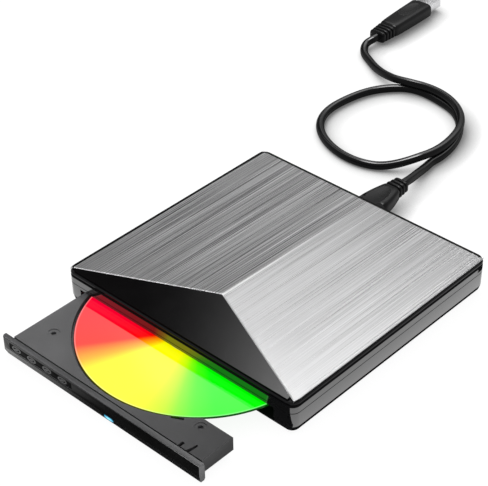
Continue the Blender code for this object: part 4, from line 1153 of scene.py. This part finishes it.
def build_flag():
    """Card seen only in glossy reflections: grey on the left, fading to black at the middle."""
    part = stage_plane("front_flag", -0.6, 0.0745, -1.2, -0.0107, 0.0003)
    material = bpy.data.materials.new("front_flag")
    material.use_nodes = True
    graph = Graph(material.node_tree)
    nodes = graph.tree.nodes
    nodes.remove(nodes["Principled BSDF"])
    x = graph.split(graph.node("NewGeometry").outputs["Position"])[0]
    glow = graph.remap(x, (-0.085, 0.0), to=(0.95, 0.0), smooth=True)
    emission = graph.node("Emission", Strength=glow)
    graph.feed(nodes["Material Output"].inputs["Surface"], emission.outputs[0])
    part.data.materials.append(material)
    part.visible_camera = part.visible_diffuse = False
    part.visible_shadow = part.visible_transmission = False


floor = stage_plane("floor", -6, 6, -6, 6, 0.0)
MATERIALS["floor"] = studio_floor()
paint(floor, "floor")
build_flag()


# ---------------------------------------------------------------- world, light and camera
def build_world():
    """White room with a graded card to the rear left and an overhead softbox for reflections."""
    world = bpy.data.worlds.new("studio")
    bpy.context.scene.world = world
    world.use_nodes = True
    graph = Graph(world.node_tree)
    remap, mul, add, invert = graph.remap, graph.mul, graph.add, graph.invert
    direction = graph.vmath("NORMALIZE", graph.node("TexCoord").outputs["Generated"])
    x, y, z = graph.split(direction)
    to_degrees = 180 / math.pi
    elevation = mul(graph.math("ARCSINE", z), to_degrees)
    # 0 = +Y, positive towards -X
    azimuth = mul(graph.math("ARCTAN2", mul(x, -1.0), y), to_degrees)
    # the card brightens upwards and falls off to the left, differently in its two halves
    sweep = remap(elevation, (31.0, 50.0), to=(0.30, 1.95))
    lower = remap(azimuth, (49.0, 61.0), to=(1.0, 0.12), smooth=True)
    upper = remap(azimuth, (49.6, 57.2), to=(1.15, 0.03), smooth=True)
    falloff = add(mul(lower, remap(elevation, (38.0, 42.0), to=(1.0, 0.0))),
                  mul(upper, remap(elevation, (38.0, 42.0))))
    card = mul(sweep, falloff)
    inside = mul(remap(azimuth, (-12.0, 8.0), smooth=True),
                 remap(azimuth, (76.0, 92.0), to=(1.0, 0.0), smooth=True),
                 remap(elevation, (54.0, 66.0), to=(1.0, 0.0), smooth=True))
    room_level = 1.0
    level = add(mul(card, inside), mul(room_level, invert(inside)))
    ray = graph.node("LightPath").outputs
    softbox = remap(elevation, (66.0, 74.0), to=(0.0, 9.0), smooth=True)
    level = add(level, mul(softbox, ray["Is Glossy Ray"]))
    # the camera itself sees plain white beyond the floor
    level = add(mul(level, invert(ray["Is Camera Ray"])), ray["Is Camera Ray"])
    background = graph.tree.nodes["Background"]
    graph.feed(background.inputs["Color"], graph.comb(level, level, level))
    background.inputs["Strength"].default_value = 1.0


def build_key():
    """Square light from the upper left rear, kept out of reflections (metres, watts)."""
    light = bpy.data.lights.new("key", "AREA")
    light.shape = "SQUARE"
    light.size = 0.5
    light.energy = 6.0
    key_light = add_object("key", light)
    place, target = Vector((-0.75, 0.55, 0.95)), Vector((0, 0.08, 0))
    key_light.location = place
    key_light.rotation_mode = "QUATERNION"
    key_light.rotation_quaternion = (target - place).to_track_quat("-Z", "Y")
    key_light.visible_glossy = False


def build_camera():
    data = bpy.data.cameras.new("camera")
    data.sensor_width = 36.0
    data.lens = 112.536885
    data.clip_start, data.clip_end = 0.02, 20.0
    camera = add_object("camera", data)
    right = (0.73253482, 0.68059008, -0.01377956)
    up = (-0.39477665, 0.44122384, 0.80589883)
    back = (0.55456662, -0.5849091, 0.5918929)
    pose = Matrix((right, up, back)).transposed().to_4x4()
    pose.translation = point(393.91, -367.55, 464.00)
    camera.matrix_world = pose
    bpy.context.scene.camera = camera


build_world()
build_key()
build_camera()

view = bpy.context.scene.view_settings
view.view_transform = "Standard"
view.look = "None"
view.exposure = 0.0
view.gamma = 1.0
